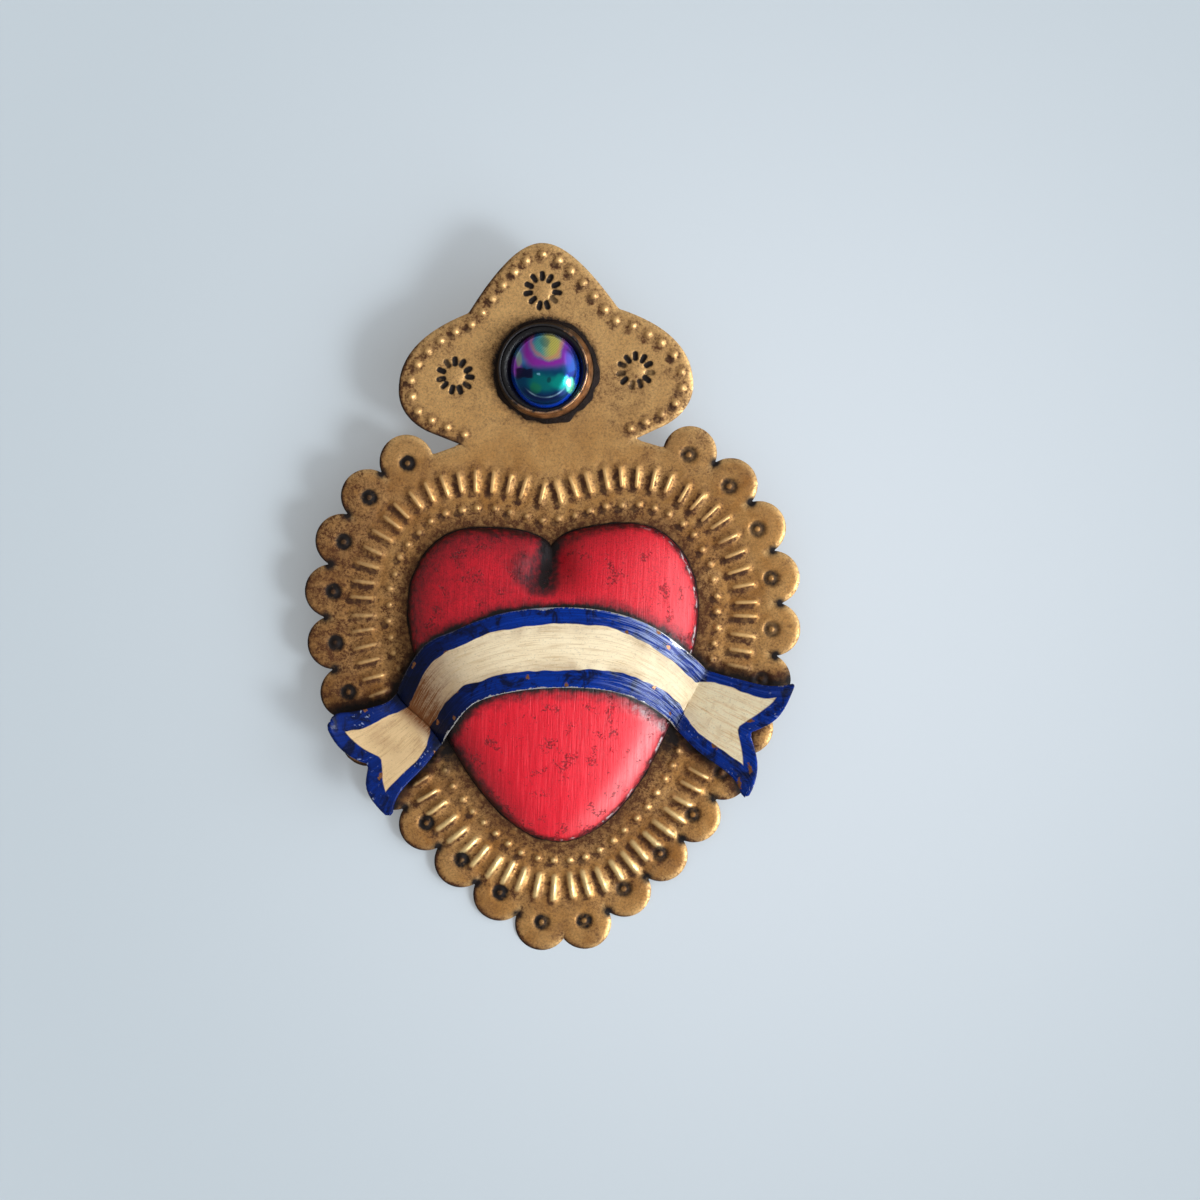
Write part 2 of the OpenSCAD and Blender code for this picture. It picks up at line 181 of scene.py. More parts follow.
class Trail:
    """A line in the sheet that can be walked by its own length."""

    FEEL: ClassVar[float] = 0.4  # how far to each side a heading is felt, in millimetres
    ON_MIRROR: ClassVar[float] = 0.2  # a stop nearer the mirror line than this has no twin

    def __init__(self, pts: Array) -> None:
        """Measures the line.

        Args:
            pts: Its points, one a row.
        """
        self.pts = np.asarray(pts, float)
        step = np.hypot(*np.diff(self.pts, axis=0).T)
        self.run = np.concatenate([[0.0], np.cumsum(step)])

    @property
    def length(self) -> float:
        """Whole length of the line."""
        return float(self.run[-1])

    def at(self, s: Array) -> Array:
        """Points at the given lengths along the line."""
        return np.stack([np.interp(s, self.run, self.pts[:, k]) for k in (0, 1)], axis=-1)

    def right(self, s: Array) -> Array:
        """Which way lies to the right of the line's heading.

        Args:
            s: Lengths along the line.

        Returns:
            A unit vector for each.
        """
        d = self.at(np.asarray(s) + self.FEEL) - self.at(np.asarray(s) - self.FEEL)
        d /= np.linalg.norm(d, axis=-1, keepdims=True)
        return np.stack([d[..., 1], -d[..., 0]], axis=-1)

    def offset(self, dist: float) -> "Trail":
        """A line beside this one.

        Args:
            dist: How far to its right, in millimetres.

        Returns:
            The other line.
        """
        nxt = np.concatenate([self.pts[1:], self.pts[-1:]])
        prv = np.concatenate([self.pts[:1], self.pts[:-1]])
        d = nxt - prv
        d[np.abs(self.pts[:, 0]) < 0.01, 1] = 0.0
        d /= np.linalg.norm(d, axis=1, keepdims=True)
        return Trail(self.pts + dist * np.stack([d[:, 1], -d[:, 0]], axis=1))

    def stops(self, pitch: float, first: float) -> Tuple[Array, Array]:
        """Even stops along the line and their mirror images.

        Args:
            pitch: Wanted spacing, which is trimmed to fill the line evenly.
            first: Distance of the first and last stop from the line's ends.

        Returns:
            The stops, and the unit vectors to the right of the heading there.
        """
        span = self.length - 2 * first
        n = int(round(span / pitch))
        s = first + np.arange(n + 1) * span / n
        p, r = self.at(s), self.right(s)
        off = p[:, 0] > self.ON_MIRROR
        return np.concatenate([p, p[off] * FLIP]), np.concatenate([r, r[off] * FLIP])


def polygon_distance(p: Array, poly: Array) -> Array:
    """Signed distance to a closed polygon, negative inside.

    Args:
        p: Points, one a row.
        poly: Corners of the polygon.

    Returns:
        One distance a point.
    """
    out = np.empty(len(p))
    a, b = poly, np.roll(poly, -1, axis=0)
    ab = b - a
    den = np.maximum((ab ** 2).sum(1), TINY)
    dy = np.where(np.abs(ab[:, 1]) < TINY, TINY, ab[:, 1])
    for k in range(0, len(p), BATCH):
        q = p[k:k + BATCH]
        ap = q[:, None, :] - a[None]
        t = np.clip((ap * ab).sum(2) / den, 0, 1)
        d = np.sqrt(((ap - t[..., None] * ab) ** 2).sum(2).min(1))
        cross = (a[:, 1] > q[:, None, 1]) != (b[:, 1] > q[:, None, 1])
        xi = a[:, 0] + (q[:, None, 1] - a[:, 1]) * ab[:, 0] / dy
        inside = ((cross & (q[:, None, 0] < xi)).sum(1) % 2) == 1
        out[k:k + BATCH] = np.where(inside, -d, d)
    return out


def nearest(p: Array, pts: Array) -> Array:
    """Distance from each point to the nearest of some places.

    Args:
        p: Points, one a row.
        pts: The places, one a row.

    Returns:
        One distance a point.
    """
    out = np.empty(len(p))
    for k in range(0, len(p), BATCH):
        d = p[k:k + BATCH, None, :] - pts[None]
        out[k:k + BATCH] = np.sqrt((d ** 2).sum(2).min(1))
    return out


@dataclass(frozen=True)
class Drawing:
    """The maker's paper pattern: outlines and punch marks, in millimetres, crown up.

    Attributes:
        scallops: Scallops on each side.
        lap: How far a scallop's radius passes half its pitch.
        edge: The line that the scallops' centres follow, right side.
        crown: Outline of the crown, right side.
        lobe: Upper right of the heart.
        flank: Lower right of the heart.
        cleft: The heart's outline beside the mirror line.
        ring_top: What the rows of marks follow in place of the cleft.
        gem_at: Middle of the gem.
        rosettes: Middles of the rosettes.
        petal_count: Dents in a rosette.
        petal_out: How far a dent is from its rosette's middle.
        bead_out: The heart's row of beads, out from the heart.
        crown_in: The crown's row of beads, in from its edge.
        rib_out: The row of ribs, out from the heart.
        pitch: Spacing of the rows round the heart.
        crown_pitch: Spacing of the crown's beads.
        ring_pull: How far toward the middle a ring punch stands in its scallop.
    """

    scallops: int = 12
    lap: float = 0.21
    edge: Tuple[Curve, ...] = (((0, -65), (47.6, -35.5), (65.3, 23.2), (25.3, 41.2)),)
    crown: Tuple[Curve, ...] = (
        ((0, 84), (4.5, 84), (9.5, 79.2), (15.9, 69.7)),
        ((15.9, 69.7), (22.5, 67.3), (31, 63), (31.3, 54)),
        ((31.3, 54), (31.6, 49.5), (28.5, 46.2), (24.6, 44.5)),
        ((24.6, 44.5), (22.6, 43.7), (20.7, 42.8), (18.7, 42)))
    lobe: Curve = ((16, 24.1), (25, 24.1), (31, 16.5), (31, 6))
    flank: Curve = ((31, 6), (31, -8.5), (16.5, -44), (0, -44))
    cleft: Curve = ((0, 19.4), (1.5, 22.8), (8.5, 24.1), (16, 24.1))
    ring_top: Curve = ((0, 21), (5, 21), (10, 24.1), (16, 24.1))
    gem_at: Spot = (0.0, 57.1)
    rosettes: Tuple[Spot, ...] = ((0.0, 73.9), (-19.15, 56.5), (19.15, 56.5))
    petal_count: int = 11
    petal_out: float = 3.05
    bead_out: float = 4.2
    crown_in: float = 2.45
    rib_out: float = 10.0
    pitch: float = 3.5
    crown_pitch: float = 3.6
    ring_pull: float = 0.992

    def edge_trail(self) -> Trail:
        """Centre line of the scallops, right side, from the bottom up."""
        return Trail(chain(self.edge, 120))

    def crown_trail(self) -> Trail:
        """Crown outline, right side, from the tip down to the inner notch."""
        return Trail(chain(self.crown, 24))

    def heart_trail(self) -> Trail:
        """Heart outline, right side, from the cleft round to the tip."""
        return Trail(chain((self.cleft, self.lobe, self.flank), 24))

    def ring_trail(self) -> Trail:
        """The line that the bead and rib rows follow, with a softer cleft."""
        return Trail(chain((self.ring_top, self.lobe, self.flank), 24))

    def scallop_centres(self) -> Tuple[Array, float]:
        """Where the scallops are cut.

        Returns:
            Centres of the right-hand ones, and their radius.
        """
        t = self.edge_trail()
        pitch = t.length / self.scallops
        return t.at((np.arange(self.scallops) + 0.5) * pitch), pitch / 2 + self.lap

    def cusps(self) -> Array:
        """Where the scallops meet.

        Returns:
            The places on the right side.
        """
        t = self.edge_trail()
        pitch = t.length / self.scallops
        s = np.arange(1, self.scallops) * pitch
        _, r = self.scallop_centres()
        reach = math.sqrt(r * r - (pitch / 2) ** 2)
        return t.at(s) + (reach - 0.3) * t.right(s)

    def distance(self, p: Array) -> Array:
        """Signed distance of points to the sheet's outline, negative on the sheet.

        Args:
            p: Points in the sheet's plane, one a row.

        Returns:
            One distance a point.
        """
        q = right_half(p)
        body = np.concatenate([self.edge_trail().pts[::2], [[24.5, 40], [18.7, 41.9]]])
        crown = np.concatenate([self.crown_trail().pts, [[12, 30]]])
        d = polygon_distance(q, mirrored_loop(body))
        d = np.minimum(d, polygon_distance(q, mirrored_loop(crown)))
        c, r = self.scallop_centres()
        return np.minimum(d, nearest(q, c) - r)

    def heart_distance(self, p: Array) -> Array:
        """Signed distance of points to the heart's outline, negative under the heart."""
        return polygon_distance(p, mirrored_loop(self.heart_trail().pts[::2]))

    def beads(self) -> Array:
        """Where the beads are punched.

        Returns:
            The places round the heart, then those round the crown.
        """
        a, _ = self.ring_trail().offset(-self.bead_out).stops(self.pitch, self.pitch / 2)
        b, _ = self.crown_trail().offset(self.crown_in).stops(self.crown_pitch, 0.0)
        return np.concatenate([a, b])

    def ribs(self) -> Tuple[Array, Array]:
        """Middles of the chiselled ribs and the way each one points."""
        return self.ring_trail().offset(-self.rib_out).stops(self.pitch, self.pitch / 2)

    def rings(self) -> Array:
        """Places of the ring punches, one in each scallop."""
        c = self.scallop_centres()[0] * self.ring_pull
        return np.concatenate([c, c * FLIP])

    def petals(self) -> Tuple[Array, Array]:
        """Where the rosettes' oval dents are punched.

        Returns:
            Their middles and the way each one points.
        """
        mid, way = [], []
        for rosette in self.rosettes:
            for i in range(self.petal_count):
                a = math.radians(90 + i * 360 / self.petal_count)
                u = np.array([math.cos(a), math.sin(a)])
                mid.append(np.array(rosette) + self.petal_out * u)
                way.append(u)
        return np.array(mid), np.array(way)


PATTERN = Drawing()


# Node trees


class Op(Enum):
    """What a math node does."""

    ABSOLUTE = "ABSOLUTE"
    ADD = "ADD"
    DIVIDE = "DIVIDE"
    EXPONENT = "EXPONENT"
    GREATER = "GREATER_THAN"
    LESS = "LESS_THAN"
    MAXIMUM = "MAXIMUM"
    MULTIPLY = "MULTIPLY"
    ROOT = "SQRT"
    SINE = "SINE"
    SUBTRACT = "SUBTRACT"


class Blend(Enum):
    """How two colours are mixed."""

    PLAIN = "MIX"
    MULTIPLY = "MULTIPLY"


class Mark(Enum):
    """What a punch mark's helper mesh holds: places, or short lines."""

    PLACE = "POINTS"
    LINE = "EDGES"


class Kind(Enum):
    """What a group's input or output carries."""

    NUMBER = "NodeSocketFloat"
    WHOLE = "NodeSocketInt"
    VECTOR = "NodeSocketVector"
    COLOUR = "NodeSocketColor"
    SHAPE = "NodeSocketGeometry"
    PIECE = "NodeSocketObject"
    FINISH = "NodeSocketMaterial"


class Tree:
    """Short-hand for building shader and geometry node trees.

    A value given to a method is a socket, a number or a colour. Nearly every method returns the
    output socket of the node it adds.
    """

    def __init__(self, tree: NodeTree) -> None:
        """Wraps a node tree."""
        self.tree = tree

    def add(self, kind: str, **props: object) -> Node:
        """Adds a node.

        Args:
            kind: Its type.
            props: The properties to set on it.

        Returns:
            The node.
        """
        n = self.tree.nodes.new(kind)
        for k, v in props.items():
            setattr(n, k, v)
        return n

    def put(self, socket: Socket, value: object) -> None:
        """Links a socket into an input, or sets the input to a plain value.

        Args:
            socket: The input.
            value: What goes in, or None to leave the input as it is.
        """
        if isinstance(value, Socket):
            self.tree.links.new(value, socket)
        elif value is not None:
            socket.default_value = value

    def feed(self, node: Node, **values: object) -> Node:
        """Fills a node's inputs by name.

        Args:
            node: The node.
            values: What goes in; an underscore in a name stands for a blank.

        Returns:
            The same node.
        """
        for k, v in values.items():
            self.put(node.inputs[k.replace("_", " ")], v)
        return node

    def fill(self, node: Node, *values: object) -> Socket:
        """Fills a node's inputs in their order.

        Args:
            node: The node.
            values: What goes in.

        Returns:
            Its first output.
        """
        for i, v in enumerate(values):
            self.put(node.inputs[i], v)
        return node.outputs[0]

    def math(self, op: Op, *values: object, clamp: bool = False) -> Socket:
        """A math node on one or two values."""
        return self.fill(self.add("ShaderNodeMath", operation=op.value, use_clamp=clamp), *values)

    def mul(self, a: object, b: object) -> Socket:
        """a times b."""
        return self.math(Op.MULTIPLY, a, b)

    def plus(self, a: object, b: object) -> Socket:
        """a plus b."""
        return self.math(Op.ADD, a, b)

    def less(self, a: object, b: object) -> Socket:
        """a minus b."""
        return self.math(Op.SUBTRACT, a, b)

    def over(self, a: object, b: object) -> Socket:
        """a divided by b."""
        return self.math(Op.DIVIDE, a, b)

    def root(self, a: object) -> Socket:
        """Square root of a."""
        return self.math(Op.ROOT, a)

    def most(self, first: object, *others: object) -> Socket:
        """The largest of some values.

        Args:
            first: The first value.
            others: The rest, compared one after another.

        Returns:
            The largest.
        """
        for value in others:
            first = self.math(Op.MAXIMUM, first, value)
        return first

    def far(self, x: object, y: object) -> Socket:
        """How far the point x, y is from the origin."""
        return self.root(self.plus(self.mul(x, x), self.mul(y, y)))

    def swing(self, value: object, by: float) -> Socket:
        """Turns a value from 0 to 1 into one from -by/2 to by/2."""
        return self.mul(self.less(value, 0.5), by)

    def bell(self, dist: object, centre: float, width: float) -> Socket:
        """A smooth bump that is 1 where dist is at centre and fades over width."""
        x = self.over(self.less(dist, centre), width)
        return self.math(Op.EXPONENT, self.mul(self.mul(x, x), -1.0))

    def span(self, value: object, lo: object, hi: object, to_lo: object = 0.0, to_hi: object = 1.0,
             smooth: bool = True) -> Socket:
        """Maps a value from one range to another and holds it at both ends.

        Args:
            value: The value.
            lo: Start of its range.
            hi: End of its range.
            to_lo: What lo becomes.
            to_hi: What hi becomes.
            smooth: Whether it eases in and out.

        Returns:
            The mapped value.
        """
        n = self.add("ShaderNodeMapRange", interpolation_type="SMOOTHSTEP" if smooth else "LINEAR")
        n.clamp = True
        return self.fill(n, value, lo, hi, to_lo, to_hi)

    def fade(self, value: object, lo: object, hi: object) -> Socket:
        """1 up to lo, falling to 0 at hi."""
        return self.span(value, lo, hi, 1.0, 0.0)

    def mix(self, share: object, a: object, b: object, blend: Blend = Blend.PLAIN) -> Socket:
        """Mixes two colours.

        Args:
            share: How much of the second is used, 0 to 1.
            a: The first colour.
            b: The second colour.
            blend: How they are mixed.

        Returns:
            The mixed colour.
        """
        n = self.add("ShaderNodeMix", data_type="RGBA", blend_type=blend.value, clamp_factor=True)
        for i, v in ((0, share), (6, a), (7, b)):
            self.put(n.inputs[i], v)
        return n.outputs[2]

    def noise(self, vec: object, scale: object, detail: float = 3.0, rough: float = 0.55,
              distort: float = 0.0) -> Socket:
        """A cloudy value, about 0 to 1.

        Args:
            vec: Where it is looked up.
            scale: Clouds to a unit of that.
            detail: Octaves of detail.
            rough: How strong the finer ones are.
            distort: How far it is pushed about.

        Returns:
            The value.
        """
        n = self.add("ShaderNodeTexNoise", noise_type="FBM", normalize=True)
        self.feed(n, Vector=vec, Scale=scale, Detail=detail, Roughness=rough, Distortion=distort)
        return n.outputs[0]

    def stretch(self, vec: object, scale: Sequence[float],
                turn: Sequence[float] = (0, 0, 0)) -> Socket:
        """Turns and stretches a pattern's coordinates."""
        n = self.add("ShaderNodeMapping", vector_type="POINT")
        return self.feed(n, Vector=vec, Rotation=turn, Scale=scale).outputs[0]

    def read(self, name: str) -> Socket:
        """Reads one of the piece's own attributes."""
        return self.add("ShaderNodeAttribute", attribute_name=name).outputs["Fac"]

    def object_coords(self) -> Socket:
        """The piece's own coordinates, in metres."""
        return self.add("ShaderNodeTexCoord").outputs["Object"]

    def split(self, vec: object) -> List[Socket]:
        """X, Y and Z of a vector."""
        return list(self.feed(self.add("ShaderNodeSeparateXYZ"), Vector=vec).outputs)

    def join(self, x: object, y: object, z: object) -> Socket:
        """A vector from X, Y and Z."""
        return self.fill(self.add("ShaderNodeCombineXYZ"), x, y, z)

    def group(self, tree: NodeTree, **values: object) -> bpy.types.NodeOutputs:
        """Places a shader group, fed by name, and gives its outputs."""
        return self.feed(self.add("ShaderNodeGroup", node_tree=tree), **values).outputs


def socket(tree: NodeTree, kind: Kind, name: str, default: object = None,
           out: bool = False) -> None:
    """Declares a group's input or output.

    Args:
        tree: The group.
        kind: What the socket carries.
        name: Its name.
        default: Its value if nothing is fed in.
        out: Whether it is an output.
    """
    s = tree.interface.new_socket(
        name=name, in_out="OUTPUT" if out else "INPUT", socket_type=kind.value)
    if default is not None:
        s.default_value = default


# The chased sheet


class Chasing:
    """Geometry Nodes tree that raises beads, ribs, ring punches and dents in a flat sheet.

    The sheet comes in flat, front and back faces alike, so that one field of heights moves
    both and the back stays hollow behind each mark, as punched tin is.
    """

    SIZES: ClassVar[Dict[str, float]] = {
        "Bead Radius": 0.95 * MM, "Bead Height": 0.62 * MM, "Bead Jitter": 0.3,
        "Rib Fall": 0.85 * MM, "Rib Height": 0.84 * MM, "Rib Jitter": 0.35,
        "Ring Radius": 1.22 * MM, "Ring Width": 0.6 * MM, "Ring Depth": 0.36 * MM,
        "Dent Radius": 0.62 * MM, "Dent Depth": 0.38 * MM, "Sheet Wobble": 0.42 * MM,
        "Boss Radius": 1.95 * MM, "Boss Height": 0.32 * MM, "Shade Shift X": 0.78 * MM,
        "Shade Shift Y": 0.92 * MM}
    MARKS: ClassVar[Tuple[str, ...]] = ("Beads", "Ribs", "Rings", "Dents", "Bosses", "Middles")

    def __init__(self) -> None:
        """Starts the tree with an input for each kind of mark and each size."""
        self.tree = bpy.data.node_groups.new("chased_relief", "GeometryNodeTree")
        socket(self.tree, Kind.SHAPE, "Geometry")
        for name in self.MARKS:
            socket(self.tree, Kind.PIECE, name)
        for name, size in self.SIZES.items():
            socket(self.tree, Kind.NUMBER, name, size)
        socket(self.tree, Kind.WHOLE, "Seed", 7)
        socket(self.tree, Kind.FINISH, "Material")
        socket(self.tree, Kind.SHAPE, "Geometry", out=True)
        self.t = t = Tree(self.tree)
        self.src = t.add("NodeGroupInput").outputs
        self.x, self.y, _ = t.split(t.add("GeometryNodeInputPosition").outputs[0])
        self.flat = t.join(self.x, self.y, 0.0)
        # Each place shifted up and right, so that a mark's painted shade and wash fall to its lower
        # left
        shade_shifted = [t.plus(v, self.src[name]) for v, name in ((self.x, "Shade Shift X"), (self.y, "Shade Shift Y"))]
        self.beside = t.join(*shade_shifted, 0.0)
        self.kept: Dict[str, Socket] = {}

    def reach(self, name: str, mark: Mark) -> Tuple[Socket, Socket, Socket]:
        """Looks up the nearest mark of a kind.

        Args:
            name: The input that holds the marks.
            mark: What they are.

        Returns:
            Distance to it, a fixed chance for it, and distance to it from the place shifted toward
            the light, which puts painted shade and wash to its lower left.
        """
        t = self.t
        info = t.add("GeometryNodeObjectInfo", transform_space="ORIGINAL")
        t.put(info.inputs[0], self.src[name])
        geo = info.outputs["Geometry"]
        dist = []
        for place in (self.flat, self.beside):
            near = t.add("GeometryNodeProximity", target_element=mark.value)
            t.put(near.inputs[0], geo)
            t.put(near.inputs["Sample Position"], place)
            dist.append(near.outputs["Distance"])
        idx = t.add("GeometryNodeSampleNearest", domain="POINT" if mark is Mark.PLACE else "EDGE")
        t.feed(idx, Geometry=geo, Sample_Position=self.flat)
        rnd = t.add("FunctionNodeRandomValue", data_type="FLOAT")
        t.feed(rnd, ID=idx.outputs[0], Seed=self.src["Seed"])
        return dist[0], rnd.outputs[1], dist[1]

    def beads(self) -> Tuple[Socket, Socket]:
        """Round beads, some lower than others.

        Returns:
            Their height in metres, and how near each place is to a bead's top.
        """
        t, src = self.t, self.src
        dist, luck, lee = self.reach("Beads", Mark.PLACE)
        radius = src["Bead Radius"]
        bead = t.fade(dist, t.mul(radius, 0.12), t.mul(radius, 1.25))
        low = t.less(1.0, t.mul(luck, src["Bead Jitter"]))
        self.kept.update(bead=t.mul(dist, PER_METRE), bead_lee=t.mul(lee, PER_METRE),
                         bead_luck=luck)
        return t.mul(t.mul(bead, src["Bead Height"]), low), bead

    def ribs(self) -> Tuple[Socket, Socket]:
        """Tent-shaped chisel ribs, thinner at their ends, wider and higher toward the tip.

        Returns:
            Their height in metres, and how near each place is to a rib's crest.
        """
        t, src = self.t, self.src
        dist, luck, lee = self.reach("Ribs", Mark.LINE)
        soft = t.less(t.root(t.plus(t.mul(dist, dist), 1.2e-8)), 1.1e-4)
        middle, _, _ = self.reach("Middles", Mark.PLACE)
        taper = t.span(middle, 0.6 * MM, 3.0 * MM, 1.0, 0.4)
        lower = t.span(self.y, 6.0 * MM, -44.0 * MM, 0.82, 1.3)
        wide = t.mul(src["Rib Fall"], t.span(self.y, -30.0 * MM, -52.0 * MM, 0.9, 1.4))
        wide = t.mul(wide, t.span(taper, 0.4, 1.0, 0.7, 1.05))
        fall = t.math(Op.EXPONENT, t.mul(t.over(soft, wide), -1.0))
        even = t.less(1.0, t.mul(luck, src["Rib Jitter"]))
        height = t.mul(t.mul(t.mul(fall, src["Rib Height"]), even), t.mul(taper, lower))
        valley = t.mul(t.bell(dist, 1.5 * MM, 0.7 * MM), -0.16 * MM)
        self.kept.update(ridge=t.mul(taper, lower), rib=t.mul(dist, PER_METRE),
                         rib_lee=t.mul(lee, PER_METRE), rib_luck=luck)
        return t.plus(height, valley), fall

    def rings(self) -> Socket:
        """Round grooves with a peg in the middle and a low lip.

        Returns:
            Their height in metres.
        """
        t, src = self.t, self.src
        dist, luck, _ = self.reach("Rings", Mark.PLACE)
        off = t.over(t.less(dist, src["Ring Radius"]), src["Ring Width"])
        groove = t.math(Op.EXPONENT, t.mul(t.mul(off, off), -1.0))
        peg = t.mul(t.bell(dist, 0.0, 0.45 * MM), 0.12 * MM)
        lip = t.mul(t.bell(dist, 2.45 * MM, 0.55 * MM), 0.06 * MM)
        self.kept.update(punch=t.mul(dist, PER_METRE), punch_luck=luck)
        return t.plus(t.plus(t.mul(groove, t.mul(src["Ring Depth"], -1.0)), peg), lip)

    def rosettes(self) -> Socket:
        """Oval dents round a low boss.

        Returns:
            Their height in metres.
        """
        t, src = self.t, self.src
        dist, luck, _ = self.reach("Dents", Mark.LINE)
        dent = t.fade(dist, t.mul(src["Dent Radius"], 0.45), src["Dent Radius"])
        middle, _, _ = self.reach("Bosses", Mark.PLACE)
        rise = t.over(middle, src["Boss Radius"])
        boss = t.math(Op.SUBTRACT, 1.0, t.mul(rise, rise), clamp=True)
        self.kept.update(dent=t.mul(dist, PER_METRE), dent_luck=luck)
        return t.plus(t.mul(dent, t.mul(src["Dent Depth"], -1.0)), t.mul(boss, src["Boss Height"]))

    def wobble(self) -> Socket:
        """The sheet's own unevenness where nothing is soldered to it.

        Returns:
            Its height in metres.
        """
        t = self.t
        wave = t.mul(t.less(t.noise(self.flat, 55.0, 2.0, 0.5), 0.5),
                     t.mul(self.src["Sheet Wobble"], 2.0))
        loose = t.add("GeometryNodeInputNamedAttribute", data_type="FLOAT")
        loose.inputs["Name"].default_value = "loose"
        return t.mul(wave, loose.outputs[0])

    def build(self) -> NodeTree:
        """Moves the sheet by every mark and keeps what the finish reads.

        Returns:
            A tree with an input for each kind of mark, each size, a seed and a material.
        """
        t = self.t
        bead_z, bead = self.beads()
        rib_z, fall = self.ribs()
        total = t.plus(t.plus(bead_z, rib_z), t.plus(self.rings(), self.rosettes()))
        total = t.plus(total, self.wobble())
        move = t.add("GeometryNodeSetPosition")
        t.feed(move, Geometry=self.src["Geometry"], Offset=t.join(0.0, 0.0, total))
        geo = move.outputs[0]
        self.kept["crest"] = t.most(t.mul(bead, bead), t.mul(fall, t.root(fall)))
        for name, value in self.kept.items():
            keep = t.add("GeometryNodeStoreNamedAttribute", data_type="FLOAT", domain="POINT")
            geo = t.feed(keep, Geometry=geo, Name=name, Value=value).outputs[0]
        real = t.fill(t.add("GeometryNodeRealizeInstances"), geo)
        paint = t.add("GeometryNodeSetMaterial")
        t.feed(paint, Geometry=real, Material=self.src["Material"])
        t.put(t.add("NodeGroupOutput").inputs[0], paint.outputs[0])
        return self.tree


def apply_tree(obj: Object, tree: NodeTree, values: Dict[str, object]) -> None:
    """Runs a Geometry Nodes tree on an object and keeps the result as a plain mesh.

    Args:
        obj: The object whose mesh goes in.
        tree: The tree to run.
        values: The tree's inputs by name.
    """
    mod = obj.modifiers.new("nodes", "NODES")
    mod.node_group = tree
    names = {s.name: s.identifier for s in tree.interface.items_tree
             if s.item_type == "SOCKET" and s.in_out == "INPUT"}
    for k, v in values.items():
        mod[names[k]] = v
    obj.update_tag()
    bpy.context.view_layer.update()
    deps = bpy.context.evaluated_depsgraph_get()
    baked = bpy.data.meshes.new_from_object(
        obj.evaluated_get(deps), preserve_all_data_layers=True, depsgraph=deps)
    obj.modifiers.remove(mod)
    obj.data = baked


def link(name: str, data: object) -> Object:
    """Puts a mesh, a light or a camera in the scene.

    Args:
        name: The object's name.
        data: What it holds.

    Returns:
        The object.
    """
    obj = bpy.data.objects.new(name, data)
    bpy.context.scene.collection.objects.link(obj)
    return obj


def mark_object(name: str, verts: Array, edges: Sequence[Tuple[int, int]] = ()) -> Object:
    """A helper that holds punch marks.

    Args:
        name: Its name.
        verts: The marks' points, in metres.
        edges: Pairs of points, if the marks are short lines.

    Returns:
        The helper, which is removed once the sheet is chased.
    """
    mesh = bpy.data.meshes.new(name)
    mesh.from_pydata([tuple(v) for v in verts], list(edges), [])
    return link(name, mesh)


def strokes(mid: Array, way: Array, half: object) -> Tuple[Array, List[Tuple[int, int]]]:
    """Short lines through the given middles.

    Args:
        mid: Their middles, in millimetres.
        way: The unit vector that each one lies along.
        half: Half the length of each, one number or one for each.

    Returns:
        Their ends in metres, and the pairs that make the lines.
    """
    reach = np.broadcast_to(np.reshape(np.asarray(half, float), (-1, 1)), (len(mid), 1))
    ends = np.stack([mid - way * reach, mid + way * reach], axis=1).reshape(-1, 2)
    return raised(ends) * MM, [(2 * i, 2 * i + 1) for i in range(len(mid))]


def make_object(name: str, verts: Array, faces: Sequence[Sequence[int]],
                material: Optional[Material] = None,
                smooth: bool = True) -> Object:
    """Makes a mesh object at the origin.

    Args:
        name: The piece's name.
        verts: Its points, in metres.
        faces: Its faces as lists of point numbers.
        material: What it is finished in.
        smooth: Whether its faces shade smoothly.

    Returns:
        The linked object.
    """
    mesh = bpy.data.meshes.new(name)
    mesh.from_pydata(verts.tolist(), [], faces)
    mesh.update()
    if smooth:
        mesh.shade_smooth()
    if material is not None:
        mesh.materials.append(material)
    return link(name, mesh)


def store(obj: Object, **fields: Array) -> None:
    """Keeps numbers on a piece's points, for its finish to read.

    Args:
        obj: The piece.
        fields: One number per point under each name.
    """
    for name, values in fields.items():
        att = obj.data.attributes.new(name, "FLOAT", "POINT")
        att.data.foreach_set("value", np.ascontiguousarray(values, dtype=np.float32))


def move_points(mesh: bpy.types.Mesh, how: Callable[[Array], Array]) -> None:
    """Moves every point of a mesh.

    Args:
        mesh: The mesh.
        how: Takes all its points and gives their new places.
    """
    co = np.empty(len(mesh.vertices) * 3, np.float32)
    mesh.vertices.foreach_get("co", co)
    moved = how(co.reshape(-1, 3).astype(float))
    mesh.vertices.foreach_set("co", moved.astype(np.float32).ravel())
    mesh.update()


